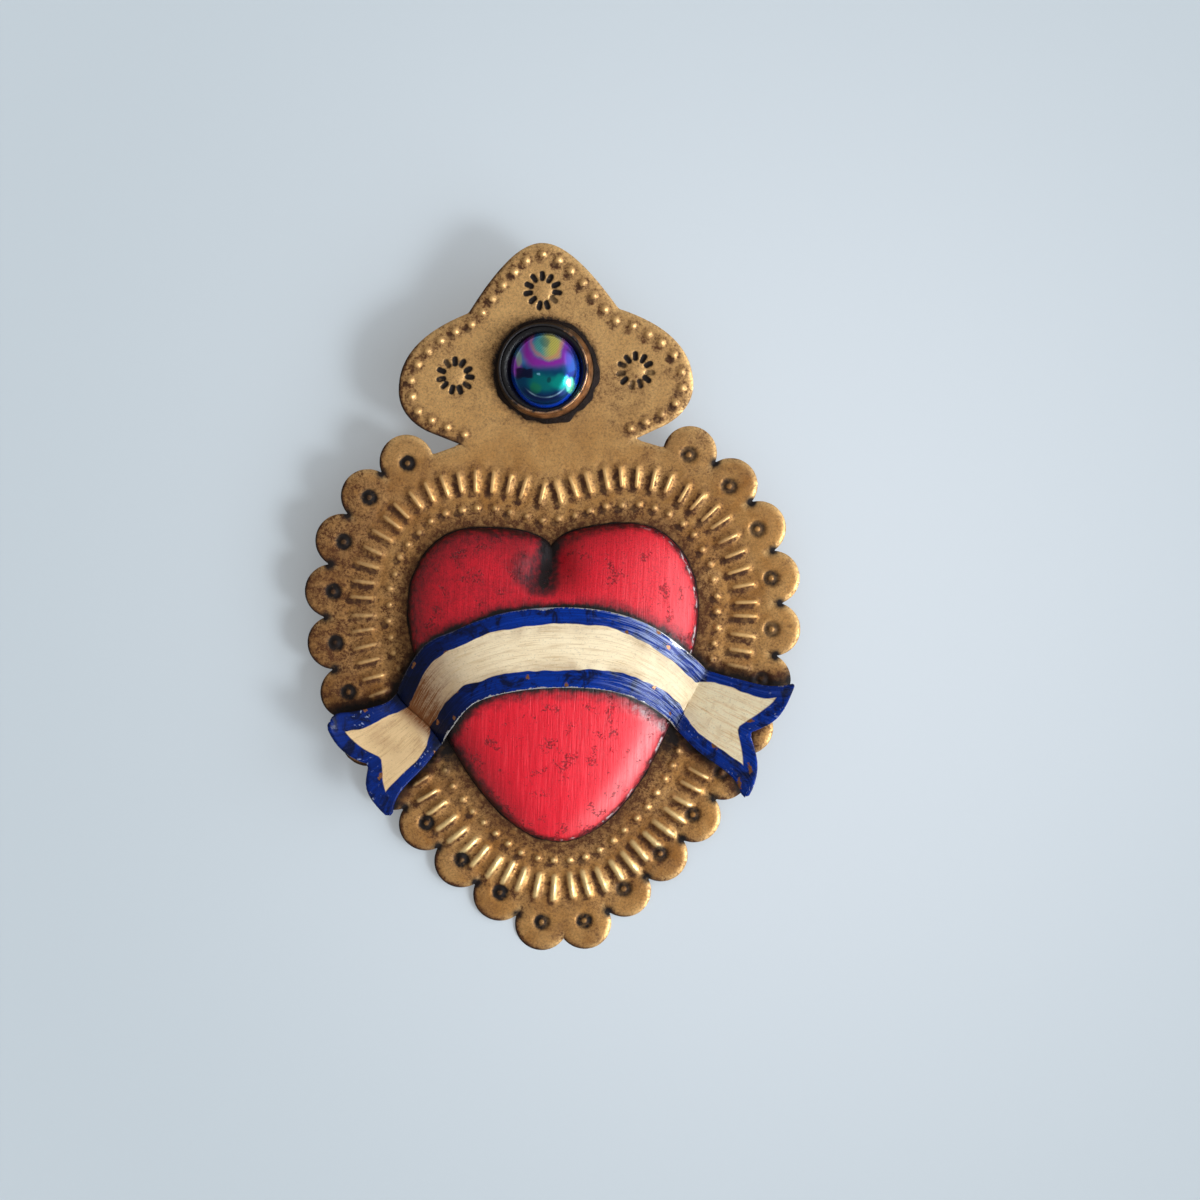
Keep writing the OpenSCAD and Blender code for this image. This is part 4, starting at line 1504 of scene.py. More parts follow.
@dataclass(frozen=True)
class PaintedRibbon(Finish):
    """Cream paint inside a hand-drawn blue border, with the raw tin showing along its edges,
    painted shade on its left and painted sheen on its right.
    """

    slot: Slot = Slot.CREAM
    cream: Colour = srgb(252, 234, 198)
    tan: Colour = srgb(206, 172, 122)
    # pale and honey are the right tail's paler tones, a painted highlight
    pale: Colour = srgb(255, 243, 208)
    honey: Colour = srgb(240, 204, 148)
    grime: Colour = srgb(112, 68, 38)
    blue: Colour = srgb(0, 50, 150)
    blue_deep: Colour = srgb(0, 24, 84)
    sheen_tint: Colour = srgb(170, 184, 222)
    # night is the dark blue of the painted shade, of the blue's dark patches and of the ink
    night: Colour = srgb(6, 12, 34)
    bronze: Colour = srgb(134, 90, 60)
    bare_tin_and_glare: Colour = srgb(206, 204, 200)

    def build(self, fx: Effects) -> Material:
        """Builds the material on the ribbon's stored distances.

        Args:
            fx: The shared effects.

        Returns:
            The material.
        """
        mat, t, shader = self.start()
        pos = t.object_coords()
        run = t.join(t.mul(t.read("along"), MM), t.mul(t.read("across"), MM), 0.0)
        side = t.read("side")
        brush = t.group(fx.brush, Position=run, Stroke_Width=0.5, Stroke_Length=13.0)
        grain = t.group(fx.brush, Position=run, Stroke_Width=0.22, Stroke_Length=5.0)
        weather = t.group(fx.weather, Position=pos, Chip_Size=1.2, Chip_Amount=0.2, Stain_Size=10.0)
        # The field, its right tail paler as a painted highlight
        far = t.span(side, 28.0, 32.0)
        cream = t.mix(far, self.cream, self.pale)
        tan = t.mix(far, self.tan, self.honey)
        cream = t.mix(t.mul(t.fade(grain["Height"], 0.36, 0.54), t.span(far, 0.0, 1.0, 0.5, 0.75)),
                      cream, tan)
        cream = t.mix(t.mul(weather["Stain"], 0.22), cream, tan)
        cream = t.mix(t.span(side, -31.0, -26.0, 0.85, 0.0), cream, self.tan)
        lines = t.mul(t.fade(grain["Height"], 0.34, 0.52), t.span(side, -31.0, -26.0, 0.3, 0.1))
        cream = t.mix(lines, cream, self.grime)
        blot = t.span(t.noise(pos, 420.0, 4.0, 0.7, 0.8), 0.5, 0.7, 0.0, 0.34)
        cream = t.mix(t.mul(far, blot), cream, self.tan)
        # The border's edges, drawn by hand
        hand = t.swing(t.noise(run, 130.0, 2.0, 0.5), 2.2)
        tail = t.read("tail")
        slim = t.mul(tail, t.span(side, -20.0, 20.0, 0.85, 1.5))
        top = t.fade(t.plus(t.plus(t.read("top"), hand), slim), 3.4, 3.6)
        slim = t.mul(tail, t.span(side, -20.0, 20.0, 1.7, 1.3))
        low = t.fade(t.plus(t.less(t.read("low"), hand), slim), 3.85, 4.05)
        end = t.fade(t.plus(t.read("end"), t.mul(hand, 0.4)), 1.75, 1.95)
        border = t.most(top, low, end)
        # The border's paint, darker on the left and the slopes as painted shade, with painted sheen
        # streaks on the right and painted gloss flecks on the tails
        blue = t.mix(t.span(brush["Streak"], 0.0, 1.0, 0.45, 1.0), self.blue_deep, self.blue)
        patch = t.span(t.noise(pos, 260.0, 4.0, 0.7, 0.6), 0.46, 0.64)
        blue = t.mix(t.mul(patch, 0.88), blue, self.night)
        blue = t.mix(t.span(side, -30.0, 4.0, 0.5, 0.0), blue, self.night)
        shadow = t.mul(t.span(t.read("slope"), 0.1, 0.75),
                       t.span(t.noise(pos, 150.0), 0.3, 0.7, 0.6, 1.0))
        blue = t.mix(t.mul(shadow, 0.8), blue, self.night)
        sheen_streaks = t.mul(t.span(side, 6.0, 26.0), t.span(tail, 0.0, 0.7, 1.0, 0.04))
        sheen_streaks = t.mul(sheen_streaks,
                      t.mul(t.span(grain["Streak"], 0.35, 0.8),
                            t.span(brush["Streak"], 0.2, 0.7, 0.35, 0.9)))
        blue = t.mix(sheen_streaks, blue, self.sheen_tint)
        gloss_flecks = t.mul(t.span(t.noise(run, 1100.0, 2.0, 0.6), 0.6, 0.66),
                      t.span(t.noise(pos, 170.0), 0.5, 0.62))
        blue = t.mix(t.mul(gloss_flecks, t.mul(tail, 0.5)), blue, self.sheen_tint)
        # Painted shade in the left folds and creases and on the slopes, with dirt along the edges
        past = t.plus(t.read("fold"), t.swing(t.noise(run, 260.0, 3.0, 0.6), 2.4))
        fold = t.plus(t.span(past, 1.0, 12.0, 0.75, 0.0), t.span(past, 4.0, 21.0, 0.35, 0.0))
        crease = t.fade(t.plus(t.read("fold"), t.mul(weather["Grit"], 1.6)), 0.4, 2.0)
        hollow = t.plus(t.mul(fold, t.span(grain["Streak"], 0.0, 1.0, 0.8, 1.05)),
                        t.mul(crease, 0.35))
        left = t.span(side, -30.0, 20.0, 1.0, 0.12)
        hollow = t.mul(hollow, left)
        fringe = t.mul(t.bell(t.read("edge"), 4.2, 1.6),
                       t.mul(weather["Stain"], t.span(far, 0.0, 1.0, 0.4, 0.1)))
        hollow = t.most(hollow, fringe,
                        t.mul(shadow, t.span(grain["Streak"], 0.0, 1.0, 0.35, 0.75)))
        done = t.group(fx.wash, Paint=t.mix(border, cream, blue),
                       Wash=t.mix(border, self.grime, self.night), Ink=self.night,
                       Hollow=t.mul(hollow, t.span(border, 0.0, 1.0, 1.0, 0.85)),
                       Groove=t.mul(
                           t.mul(weather["Pepper"], 0.35), t.span(border, 0.0, 1.0, 0.5, 1.0)),
                       Break_Up=t.plus(t.mul(weather["Grit"], 0.4), t.mul(grain["Height"], 0.6)))
        # Chips and raw tin
        dots = t.add("ShaderNodeTexVoronoi", feature="F1", voronoi_dimensions="2D")
        t.feed(dots, Vector=run, Scale=190.0)
        near = t.math(Op.LESS, dots.outputs["Distance"],
                      t.span(weather["Grit"], 0.3, 0.7, 0.04, 0.14))
        some = t.math(Op.GREATER, t.split(dots.outputs["Color"])[0], 0.45)
        chips = t.mul(t.mul(near, some), border)
        colour = t.mix(chips, done["Color"], self.bronze)
        flake = t.mul(t.span(t.noise(run, 110.0, 2.0, 0.5), 0.5, 0.72), -0.5)
        raw = t.plus(t.read("edge"), t.swing(weather["Grit"], 1.1))
        raw = t.fade(t.plus(t.plus(raw, flake), t.mul(tail, 0.4)), 0.06, 0.18)
        upper = t.math(Op.LESS, t.read("top"), t.read("low"))
        shown = t.less(1.0, t.mul(upper, t.span(side, -12.0, 8.0, 0.92, 0.0)))
        raw = t.mul(raw, shown)
        colour = t.mix(t.mul(raw, 0.9), colour, self.bare_tin_and_glare)
        gloss = t.span(border, 0.0, 1.0, 0.44, 0.25)
        t.feed(shader, Base_Color=colour, Metallic=t.most(t.mul(raw, 0.7), t.mul(chips, 0.6)),
               Roughness=t.plus(gloss, t.swing(brush["Height"], 0.3)), Specular_IOR_Level=0.13)
        self.bump(t, shader, t.plus(t.mul(brush["Height"], 0.8), t.mul(border, 0.5)), 0.1)
        return mat


@dataclass(frozen=True)
class CopperCup(Finish):
    """Copper strip gone black at its rolled rim and foot, showing copper on its flank, with painted
    shade blackening the side turned from the light.
    """

    slot: Slot = Slot.COPPER
    copper: Colour = srgb(224, 176, 130)
    dark: Colour = srgb(104, 72, 50)
    black: Colour = srgb(22, 18, 20)

    def build(self, fx: Effects) -> Material:
        """Builds the material on the cup's stored height.

        Args:
            fx: The shared effects.

        Returns:
            The material.
        """
        mat, t, shader = self.start()
        pos = t.object_coords()
        weather = t.group(fx.weather, Position=pos, Chip_Size=0.9, Chip_Amount=0.5, Stain_Size=4.0)
        tone = t.mix(weather["Stain"], self.copper, self.dark)
        rise = t.plus(t.read("rise"), t.swing(weather["Grit"], 1.1))
        top = t.mul(t.span(weather["Stain"], 0.45, 0.8), t.span(rise, 2.9, 3.2))
        # Painted shade on the side of the cup turned away from the light
        away_from_light = t.plus(t.mul(t.read("gem_u"), -0.77), t.mul(t.read("gem_v"), 0.64))
        top = t.most(top, t.span(t.plus(away_from_light, t.less(weather["Grit"], 0.5)), -0.45, 0.35))
        foot = t.fade(rise, 0.5, 1.1)
        done = t.group(fx.wash, Paint=tone, Wash=self.dark, Ink=self.black,
                       Hollow=weather["Pepper"], Groove=t.most(t.mul(top, 0.96), foot),
                       Break_Up=weather["Grit"])
        t.feed(shader, Base_Color=done["Color"], Metallic=t.span(done["Darkness"], 0.2, 0.9, 0.9, 0.2),
               Roughness=t.span(done["Darkness"], 0.2, 0.9, 0.3, 0.42))
        self.bump(t, shader, weather["Grit"], 0.08)
        return mat

# The table top, with a painted pool of light and a share of glow that lightens its shadows.

@dataclass(frozen=True)
class CoatedGlass(Finish):
    """Glass cabochon under a metal-oxide coating whose colour drifts across the dome, with painted
    window reflections and highlights.
    """

    slot: Slot = Slot.GLASS

    def build(self, fx: Effects) -> Material:
        # A painted pool of light, brightest right of the object
        # The emission is painted fill light that lifts the table's shadows
        """Builds the coating and its painted reflections and highlights from soft-edged fields in
        the dome's own plane.

        Args:
            fx: The shared effects, not used here.

        Returns:
            The material.
        """
        mat, t, shader = self.start()
        u, v = t.read("gem_u"), t.read("gem_v")
        flat = t.join(u, v, 0.0)
        warp = t.noise(flat, 1.6, 2.0, 0.5)
        wu = t.plus(u, t.swing(warp, 0.35))
        wv = t.plus(v, t.swing(t.noise(flat, 2.3, 2.0, 0.5), 0.3))
        rad = t.far(u, v)

        def spot(cu: float, cv: float, ru: float, rv: float, hard: float = 0.35) -> Socket:
            """A soft oval field, with its middle, its half sizes and the width of its edge."""
            d = t.far(t.over(t.less(wu, cu), ru), t.over(t.less(wv, cv), rv))
            return t.fade(d, 1.0 - hard, 1.0 + hard)

        colour = t.mix(t.span(v, -0.1, 0.45), srgb(0, 66, 104), srgb(36, 108, 186))
        colour = t.mix(spot(0.82, 0.25, 0.3, 0.4), colour, srgb(40, 110, 170))
        colour = t.mix(spot(-0.08, -0.32, 0.42, 0.26), colour, srgb(0, 112, 116))
        colour = t.mix(spot(0.5, -0.32, 0.3, 0.22), colour, srgb(0, 146, 136))
        colour = t.mix(t.mul(spot(-0.28, -0.46, 0.16, 0.16), 0.7), colour, srgb(30, 128, 84))
        colour = t.mix(spot(-0.6, 0.55, 0.28, 0.34), colour, srgb(56, 146, 206))
        arc = t.far(t.less(wu, 0.08), t.less(wv, 0.78))
        colour = t.mix(t.mul(t.bell(arc, 0.62, 0.17), t.span(v, -0.05, 0.2)), colour,
                       srgb(150, 44, 172))
        colour = t.mix(t.mul(spot(-0.84, 0.12, 0.2, 0.26), 0.9), colour, srgb(150, 60, 180))
        colour = t.mix(t.mul(spot(-0.72, 0.34, 0.1, 0.2), 0.7), colour, srgb(156, 182, 150))
        colour = t.mix(t.mul(spot(0.64, 0.5, 0.22, 0.34), 0.6), colour, srgb(128, 64, 180))
        way = t.plus(t.mul(u, -0.64), t.mul(v, 0.77))
        hatch = t.math(Op.SINE, t.plus(t.mul(way, 120.0), t.mul(warp, 9.0)))
        # A painted reflection of the bright window over the top, hatched and tinted by the coating
        sun = t.mix(t.span(wu, -0.15, 0.25), srgb(84, 168, 170), srgb(214, 200, 92))
        sun = t.mix(t.mul(t.span(hatch, -0.6, 0.9), 0.45), sun, srgb(60, 120, 104))
        sun = t.mix(t.mul(spot(0.02, 0.76, 0.16, 0.12), 0.6), sun, srgb(56, 110, 100))
        colour = t.mix(spot(0.1, 0.62, 0.42, 0.36, 0.22), colour, sun)
        colour = t.mix(t.mul(t.bell(arc, 0.45, 0.05), 0.5), colour, srgb(224, 120, 130))

        def window_reflection(cu: float, cv: float, ru: float, rv: float) -> Socket:
            """A soft-cornered four-sided field for a painted reflection, with its middle and its
            half sizes.
            """
            a, b = t.over(t.less(u, cu), ru), t.over(t.less(wv, cv), rv)
            return t.mul(*[t.fade(t.math(Op.ABSOLUTE, x), *ends)
                           for x, ends in ((a, (0.8, 1.15)), (b, (0.75, 1.2)))])

        # Painted reflections of two dark window panes
        colour = t.mix(t.mul(window_reflection(-0.6, -0.06, 0.25, 0.15), 0.93), colour, srgb(14, 12, 52))
        colour = t.mix(t.mul(window_reflection(0.8, -0.12, 0.17, 0.11), 0.9), colour, srgb(8, 28, 56))
        colour = t.mix(t.mul(spot(0.16, -0.22, 0.05, 0.08), 0.6), colour, srgb(4, 24, 50))
        low = t.far(u, t.less(v, 0.05))
        band = t.mul(t.bell(low, 0.8, 0.13), t.fade(v, -0.6, -0.3))
        colour = t.mix(t.mul(band, 0.92), colour, srgb(8, 24, 78))
        # A painted reflection of a thin light line low on the dome
        line = t.mul(t.bell(low, 0.76, 0.018), t.fade(v, -0.62, -0.4))
        colour = t.mix(t.mul(line, t.span(warp, 0.4, 0.6, 0.2, 0.8)), colour, srgb(150, 190, 210))
        # A painted highlight along the left and lower edge
        rim = t.mul(t.span(rad, 0.88, 0.95), t.fade(t.less(v, t.mul(u, 0.3)), -0.5, 0.9))
        colour = t.mix(rim, colour, srgb(20, 84, 240))
        colour = t.mix(t.mul(spot(0.78, 0.14, 0.2, 0.42), 0.8), colour, srgb(26, 44, 120))
        # The painted highlight at the lower right, a white core in a cyan-green glow, and a small
        # painted glint
        colour = t.mix(t.mul(spot(0.76, -0.42, 0.14, 0.2), 0.85), colour, srgb(110, 226, 176))
        colour = t.mix(spot(0.72, -0.34, 0.06, 0.075, 0.5), colour, srgb(255, 255, 255))
        colour = t.mix(t.mul(window_reflection(-0.19, -0.09, 0.05, 0.025), 0.7), colour, srgb(130, 200, 230))
        t.feed(shader, Base_Color=colour, Metallic=0.7, Roughness=0.13, Specular_IOR_Level=0.2,
               Coat_Weight=0.1, Coat_Roughness=0.02)
        return mat


@dataclass(frozen=True)
class Plain(Finish):
    """Bare or dull metal and putty with a little unevenness.

    Attributes:
        tone: Its colour.
        shade: Colour of its darker patches.
        metal: Metallic share.
        rough: Roughness.
        grain: Depth of its unevenness, in millimetres.
        shine: Specular level.
    """

    tone: Colour = srgb(150, 150, 148)
    shade: Colour = srgb(90, 88, 86)
    metal: float = 0.9
    rough: float = 0.4
    grain: float = 0.08
    shine: float = 0.4

    def build(self, fx: Effects) -> Material:
        """Builds the material.

        Args:
            fx: The shared effects.

        Returns:
            The material.
        """
        mat, t, shader = self.start()
        pos = t.object_coords()
        weather = t.group(fx.weather, Position=pos, Chip_Size=1.0, Chip_Amount=0.3, Stain_Size=3.5)
        done = t.group(fx.wash, Paint=self.tone, Wash=self.shade, Ink=self.shade,
                       Hollow=t.mul(weather["Stain"], 0.7), Groove=t.mul(weather["Chips"], 0.6),
                       Break_Up=weather["Grit"])
        t.feed(shader, Base_Color=done["Color"], Metallic=self.metal, Specular_IOR_Level=self.shine,
               Roughness=t.span(weather["Stain"], 0.0, 1.0, self.rough, self.rough + 0.2))
        self.bump(t, shader, weather["Grit"], self.grain)
        return mat


@dataclass
class Palette:
    """Every finish, built once."""

    gold: Material
    red: Material
    cream: Material
    copper: Material
    glass: Material
    bedding: Material
    solder: Material
    tin: Material

    @classmethod
    def mix(cls) -> "Palette":
        """Builds all the materials on one set of shared effects.

        Returns:
            The palette.
        """
        fx = Effects()
        return cls(gold=AntiqueGold().build(fx), red=PaintedHeart().build(fx),
                   cream=PaintedRibbon().build(fx), copper=CopperCup().build(fx),
                   glass=CoatedGlass().build(fx),
                   bedding=Plain(
                       Slot.BEDDING, srgb(14, 13, 16), srgb(5, 5, 8), 0.0, 0.24, 0.1,
                       0.3).build(fx),
                   solder=Plain(
                       Slot.SOLDER, srgb(34, 22, 17), srgb(12, 8, 8), 0.1, 0.5, 0.4,
                       0.18).build(fx),
                   tin=Plain(
                       Slot.TIN, srgb(176, 176, 174), srgb(120, 116, 112), 0.95, 0.34,
                       0.03).build(fx))


# The pieces


def keep_piece(obj: Object, nodes: Sequence[str]) -> Object:
    """Hides the CAD nodes that a finished piece replaces and attaches the piece to the root body.

    Args:
        obj: The piece, whose mesh is already in the row frame.
        nodes: The CAD nodes that it replaces.

    Returns:
        The same object.
    """
    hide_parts(*nodes)
    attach(obj, "root")
    LOG.info("%s: %d faces", obj.name, len(obj.data.polygons))
    return obj


@dataclass
class ChasedPlate:
    """The punched and chiselled tin sheet.

    Attributes:
        cell: Size of the sheet's largest mesh cell, in millimetres.
        roll: How far the sheet's edge is burnished down.
        rib_half: Half the length of a rib's crest.
        dent_half: Half the length of a rosette dent's floor.
        seed: Seed of the marks' unevenness.
    """

    cell: float = 1.2
    roll: float = 0.5
    rib_half: float = 2.05
    dent_half: float = 0.5
    seed: int = 11
    CLEAN: ClassVar[float] = 40.0  # puts the back out of reach of the front's dirt and painted shade
    ROLL_WIDTH: ClassVar[float] = 0.75  # how far in the rolled edge fades
    NUDGE: ClassVar[Spot] = (0.25, 0.12)  # which way an edge is felt to face the light

    def build(self, palette: Palette, ribbon: "Ribbon") -> Object:
        """Meshes the sheet, chases it and seats it.

        Args:
            palette: The finishes.
            ribbon: The banner, under and beside which the sheet gets painted shadow and dirt.

        Returns:
            The finished piece.
        """
        verts, faces, gap = SheetMesh(self.cell).build()
        flat = verts[:, :2]
        heart = PATTERN.heart_distance(flat)
        gem = np.hypot(flat[:, 0], flat[:, 1] - PATTERN.gem_at[1])
        clean = np.where(verts[:, 2] < verts[:, 2].mean(), self.CLEAN, 0.0)
        verts[:, 2] -= self.roll * np.exp(-gap / self.ROLL_WIDTH)
        # How far each edge faces away from the light, read for painted shade and highlights
        nudge = np.array(self.NUDGE)
        left = PATTERN.distance(flat - nudge) - PATTERN.distance(flat + nudge)
        obj = make_object("chased_plate", verts * MM, faces)
        store(obj, edge=gap, heart=heart + clean, gem=gem + clean,
              cusp=nearest(right_half(flat), PATTERN.cusps()),
              loose=np.clip((heart - 1.5) / 4, 0, 1) * np.clip((gem - 12) / 4, 0, 1),
              lee=np.clip(left / 0.55, -1, 1), across=-flat[:, 0],
              strip=polygon_distance(flat, ribbon.hang(ribbon.outline())) + clean)
        self.chase(obj, palette)
        obj.data.shade_smooth()
        move_points(obj.data, lambda p: np.maximum(SEAT.place(p / MM), [-1.0, -1.0, 0.0]))
        return keep_piece(obj, ["back_plate"])

    def chase(self, obj: Object, palette: Palette) -> None:
        """Raises every punch mark with the relief tree.

        Args:
            obj: The flat sheet.
            palette: The finishes.
        """
        rng = np.random.default_rng(self.seed)
        beads = PATTERN.beads()
        beads += rng.normal(0, 0.14, beads.shape)
        mid, way = PATTERN.ribs()
        tilt = rng.normal(0, 0.035, len(mid))
        way = np.stack([way[:, 0] * np.cos(tilt) - way[:, 1] * np.sin(tilt),
                        way[:, 0] * np.sin(tilt) + way[:, 1] * np.cos(tilt)], axis=1)
        mid = mid + rng.normal(0, 0.16, mid.shape)
        longer = 0.16 * np.clip((-mid[:, 1] - 20) / 30, 0, 1)
        reach = self.rib_half * (1 + rng.normal(0, 0.05, len(mid)) + longer)
        dents, spokes = PATTERN.petals()
        dents = dents + rng.normal(0, 0.09, dents.shape)
        helpers = [mark_object("beads", raised(beads) * MM),
                   mark_object("ribs", *strokes(mid, way, reach)),
                   mark_object("rings", raised(PATTERN.rings()) * MM),
                   mark_object("dents", *strokes(dents, spokes, self.dent_half)),
                   mark_object("bosses", raised(np.array(PATTERN.rosettes)) * MM),
                   mark_object("middles", raised(mid) * MM)]
        values: Dict[str, object] = dict(zip(Chasing.MARKS, helpers))
        values.update({"Seed": self.seed, "Material": palette.gold})
        apply_tree(obj, Chasing().build(), values)
        for helper in helpers:
            bpy.data.objects.remove(helper)


@dataclass(frozen=True)
class HeartShape:
    """The embossed heart's surface over the sheet's plane, in millimetres.

    Attributes:
        centre: Where its highest point stands.
        height: Its height.
        cleft: Share of the height that the cleft takes away.
        fill: How widely the inner swell evens out the outline, in degrees.
    """

    centre: Tuple[float, float] = (0.0, -4.0)
    height: float = 10.0
    cleft: float = 0.72
    fill: float = 15.0

    def reach(self, angle: Array) -> Array:
        """Distance from the centre to the outline in each direction of the right half plane.

        Args:
            angle: The directions, in radians.

        Returns:
            One distance for each.
        """
        pts = PATTERN.heart_trail().pts - np.array(self.centre)
        a = np.arctan2(pts[:, 1], pts[:, 0])
        order = np.argsort(a)
        return np.interp(angle, a[order], np.hypot(*pts[order].T))

    def full(self, angle: Array) -> Array:
        """The outline's distance with its cleft filled, which the inner swell follows.

        Args:
            angle: The directions, in radians.

        Returns:
            One distance for each.
        """
        turn = np.radians(np.linspace(-34, 34, 15))
        part = np.exp(-(turn / math.radians(self.fill)) ** 2)
        total = np.zeros(len(angle))
        for d, w in zip(turn, part / part.sum()):
            a = angle + d
            a = np.where(a > np.pi / 2, np.pi - a, np.where(a < -np.pi / 2, -np.pi - a, a))
            total += w * self.reach(a)
        return total

    def share(self, p: Array) -> Array:
        """How far out each point lies, 0 at the centre and 1 on the outline.

        Args:
            p: Points in the sheet's plane.

        Returns:
            One share for each.
        """
        v = right_half(p) - np.array(self.centre)
        a = np.arctan2(v[:, 1], v[:, 0])
        r = self.reach(a)
        f = np.minimum(1, np.hypot(*v.T) / r)
        w = np.clip((1 - f) / 0.45, 0, 1)
        return f * (1 + ease(w) * (r / self.full(a) - 1))

    def valley(self, p: Array) -> Array:
        """What the cleft leaves of the height.

        Args:
            p: Points in the sheet's plane.

        Returns:
            A share of the height for each.
        """
        t = np.clip((p[:, 1] - 8.4) / 9.0, 0, 1)
        return 1 - self.cleft * np.exp(-(p[:, 0] / (5.4 - 1.4 * t)) ** 2) * ease(t)

    def dome(self, p: Array) -> Array:
        """Height of the heart above its foot."""
        return self.height * (1 - self.share(p) ** 2.4) ** 0.56 * self.valley(p)


HEART = HeartShape()


@dataclass
class PaintedHeartDome:
    """The hollow embossed heart.

    Attributes:
        turns: Points round the outline.
        rings: Rings from the foot to the top.
        thick: Thickness of its sheet.
    """

    turns: int = 288
    rings: int = 84
    thick: float = 0.4

    def outline(self) -> Array:
        """Points round the heart, evenly spaced."""
        half = PATTERN.heart_trail()
        return both_sides(half.at(np.linspace(0, half.length, self.turns // 2 + 1)))

    def skin(self, inset: float) -> Array:
        """One face of the shell as rings of points, then its middle point.

        Args:
            inset: How far inside the outer face it lies, in millimetres.

        Returns:
            The points.
        """
        c = np.array(HEART.centre)
        out = self.outline()
        v = out - c
        v = v * (1 - inset / np.hypot(*v.T))[:, None]
        f = 1 - (np.arange(self.rings) / self.rings) ** 1.7 * 0.985
        pts = (c + v[None] * f[:, None, None]).reshape(-1, 2)
        unscaled = (c + (out - c)[None] * f[:, None, None]).reshape(-1, 2)
        z = HEART.dome(unscaled) * (HEART.height - inset) / HEART.height
        return np.concatenate([raised(pts, z), [[c[0], c[1], HEART.height - inset]]])

    def build(self, palette: Palette, ribbon: "Ribbon") -> Object:
        """Builds the shell and stores how far each point is from what the paint follows.

        Args:
            palette: The finishes.
            ribbon: The banner that crosses the heart.

        Returns:
            The finished piece.
        """
        outer, inner = self.skin(0.0), self.skin(self.thick)
        n, m = len(self.outline()), self.rings
        k = len(outer)
        faces: List[List[int]] = []
        for j in range(m - 1):
            for i in range(n):
                a, b = j * n + i, j * n + (i + 1) % n
                faces.append([b, a, a + n, b + n])
                faces.append([a + k, b + k, b + n + k, a + n + k])
        last = (m - 1) * n
        for i in range(n):
            a, b = last + i, last + (i + 1) % n
            faces.append([b, a, k - 1])
            faces.append([a + k, b + k, 2 * k - 1])
            c, d = i, (i + 1) % n
            faces.append([c, d, d + k, c + k])
        flat = np.concatenate([outer, inner])
        plan = flat[:, :2]
        x, y = plan.T
        flat[:, 2] += SHEET
        obj = make_object("painted_heart", SEAT.place(flat), faces, palette.red)
        store(obj, rim=-PATTERN.heart_distance(plan), side=x - 0.35 * y, down=-y, mid=x,
              ribbon=polygon_distance(plan, ribbon.hang(ribbon.outline())))
        t = np.clip((19.8 - y) / 10.0, 0, 1)
        side = x + 1.1 * t
        wide = np.where(side < 0, 3.0 + 5.6 * t ** 0.8, 1.9 + 0.9 * t)
        stop = np.clip((y - 7.6 - 0.035 * side ** 2 * (side < 0)) / 4.6, 0, 1)
        vee = (x + 2.2 * t) / (4.0 - 2.7 * t)
        store(obj, cleft=np.exp(-(side / wide) ** 2) * ease(stop), vee=np.exp(-vee ** 2) * stop)
        return keep_piece(obj, ["heart_dome"])


@dataclass
class HeartSeam:
    """The uneven line of solder round the heart's foot.

    Attributes:
        wide: How far it reaches from the heart, in millimetres.
        high: How far it climbs the heart.
        turns: Points round it.
        seed: Seed of its lumps.
    """

    wide: float = 0.5
    high: float = 0.42
    turns: int = 576
    seed: int = 4

    def build(self, palette: Palette) -> Object:
        """Sweeps a lumpy triangle round the heart.

        Args:
            palette: The finishes.

        Returns:
            The finished piece.
        """
        half = PATTERN.heart_trail()
        s = np.linspace(0, half.length, self.turns // 2 + 1)
        p, out = half.at(s), -half.right(s)
        out[[0, -1], 0] = 0.0
        out[[0, -1]] /= np.abs(out[[0, -1], 1])[:, None]
        p, out = both_sides(p), both_sides(out)
        rng = np.random.default_rng(self.seed)
        ang = np.linspace(0, 2 * np.pi, len(p), endpoint=False)
        ph = rng.uniform(0, TURN, 60)
        lump = sum(np.sin(n * ang + ph[n]) / n ** 0.35 for n in range(5, 60)) * 0.28
        reach = self.wide * np.clip(0.42 + 0.38 * lump, 0.05, 1.0)
        tall = self.high * np.clip(0.45 + 0.35 * np.roll(lump, 7), 0.1, 1.0)
        rows = [(-0.3, SHEET + tall * 0.2), (-0.08, SHEET + tall),
                (reach * 0.45, SHEET + tall * 0.4), (reach, SHEET + 0.01), (reach, SHEET - 0.03),
                (-0.3, SHEET - 0.03)]
        pts = np.concatenate([raised(p + out * np.reshape(r, (-1, 1)), z) for r, z in rows])
        n, m = len(p), len(rows)
        faces = [
            [j * n + i, j * n + (i + 1) % n, (j + 1) % m * n + (i + 1) % n,
             (j + 1) % m * n + i] for j in range(m) for i in range(n)]
        obj = make_object("heart_seam", SEAT.place(pts), faces, palette.solder)
        return keep_piece(obj, ["heart_solder"])


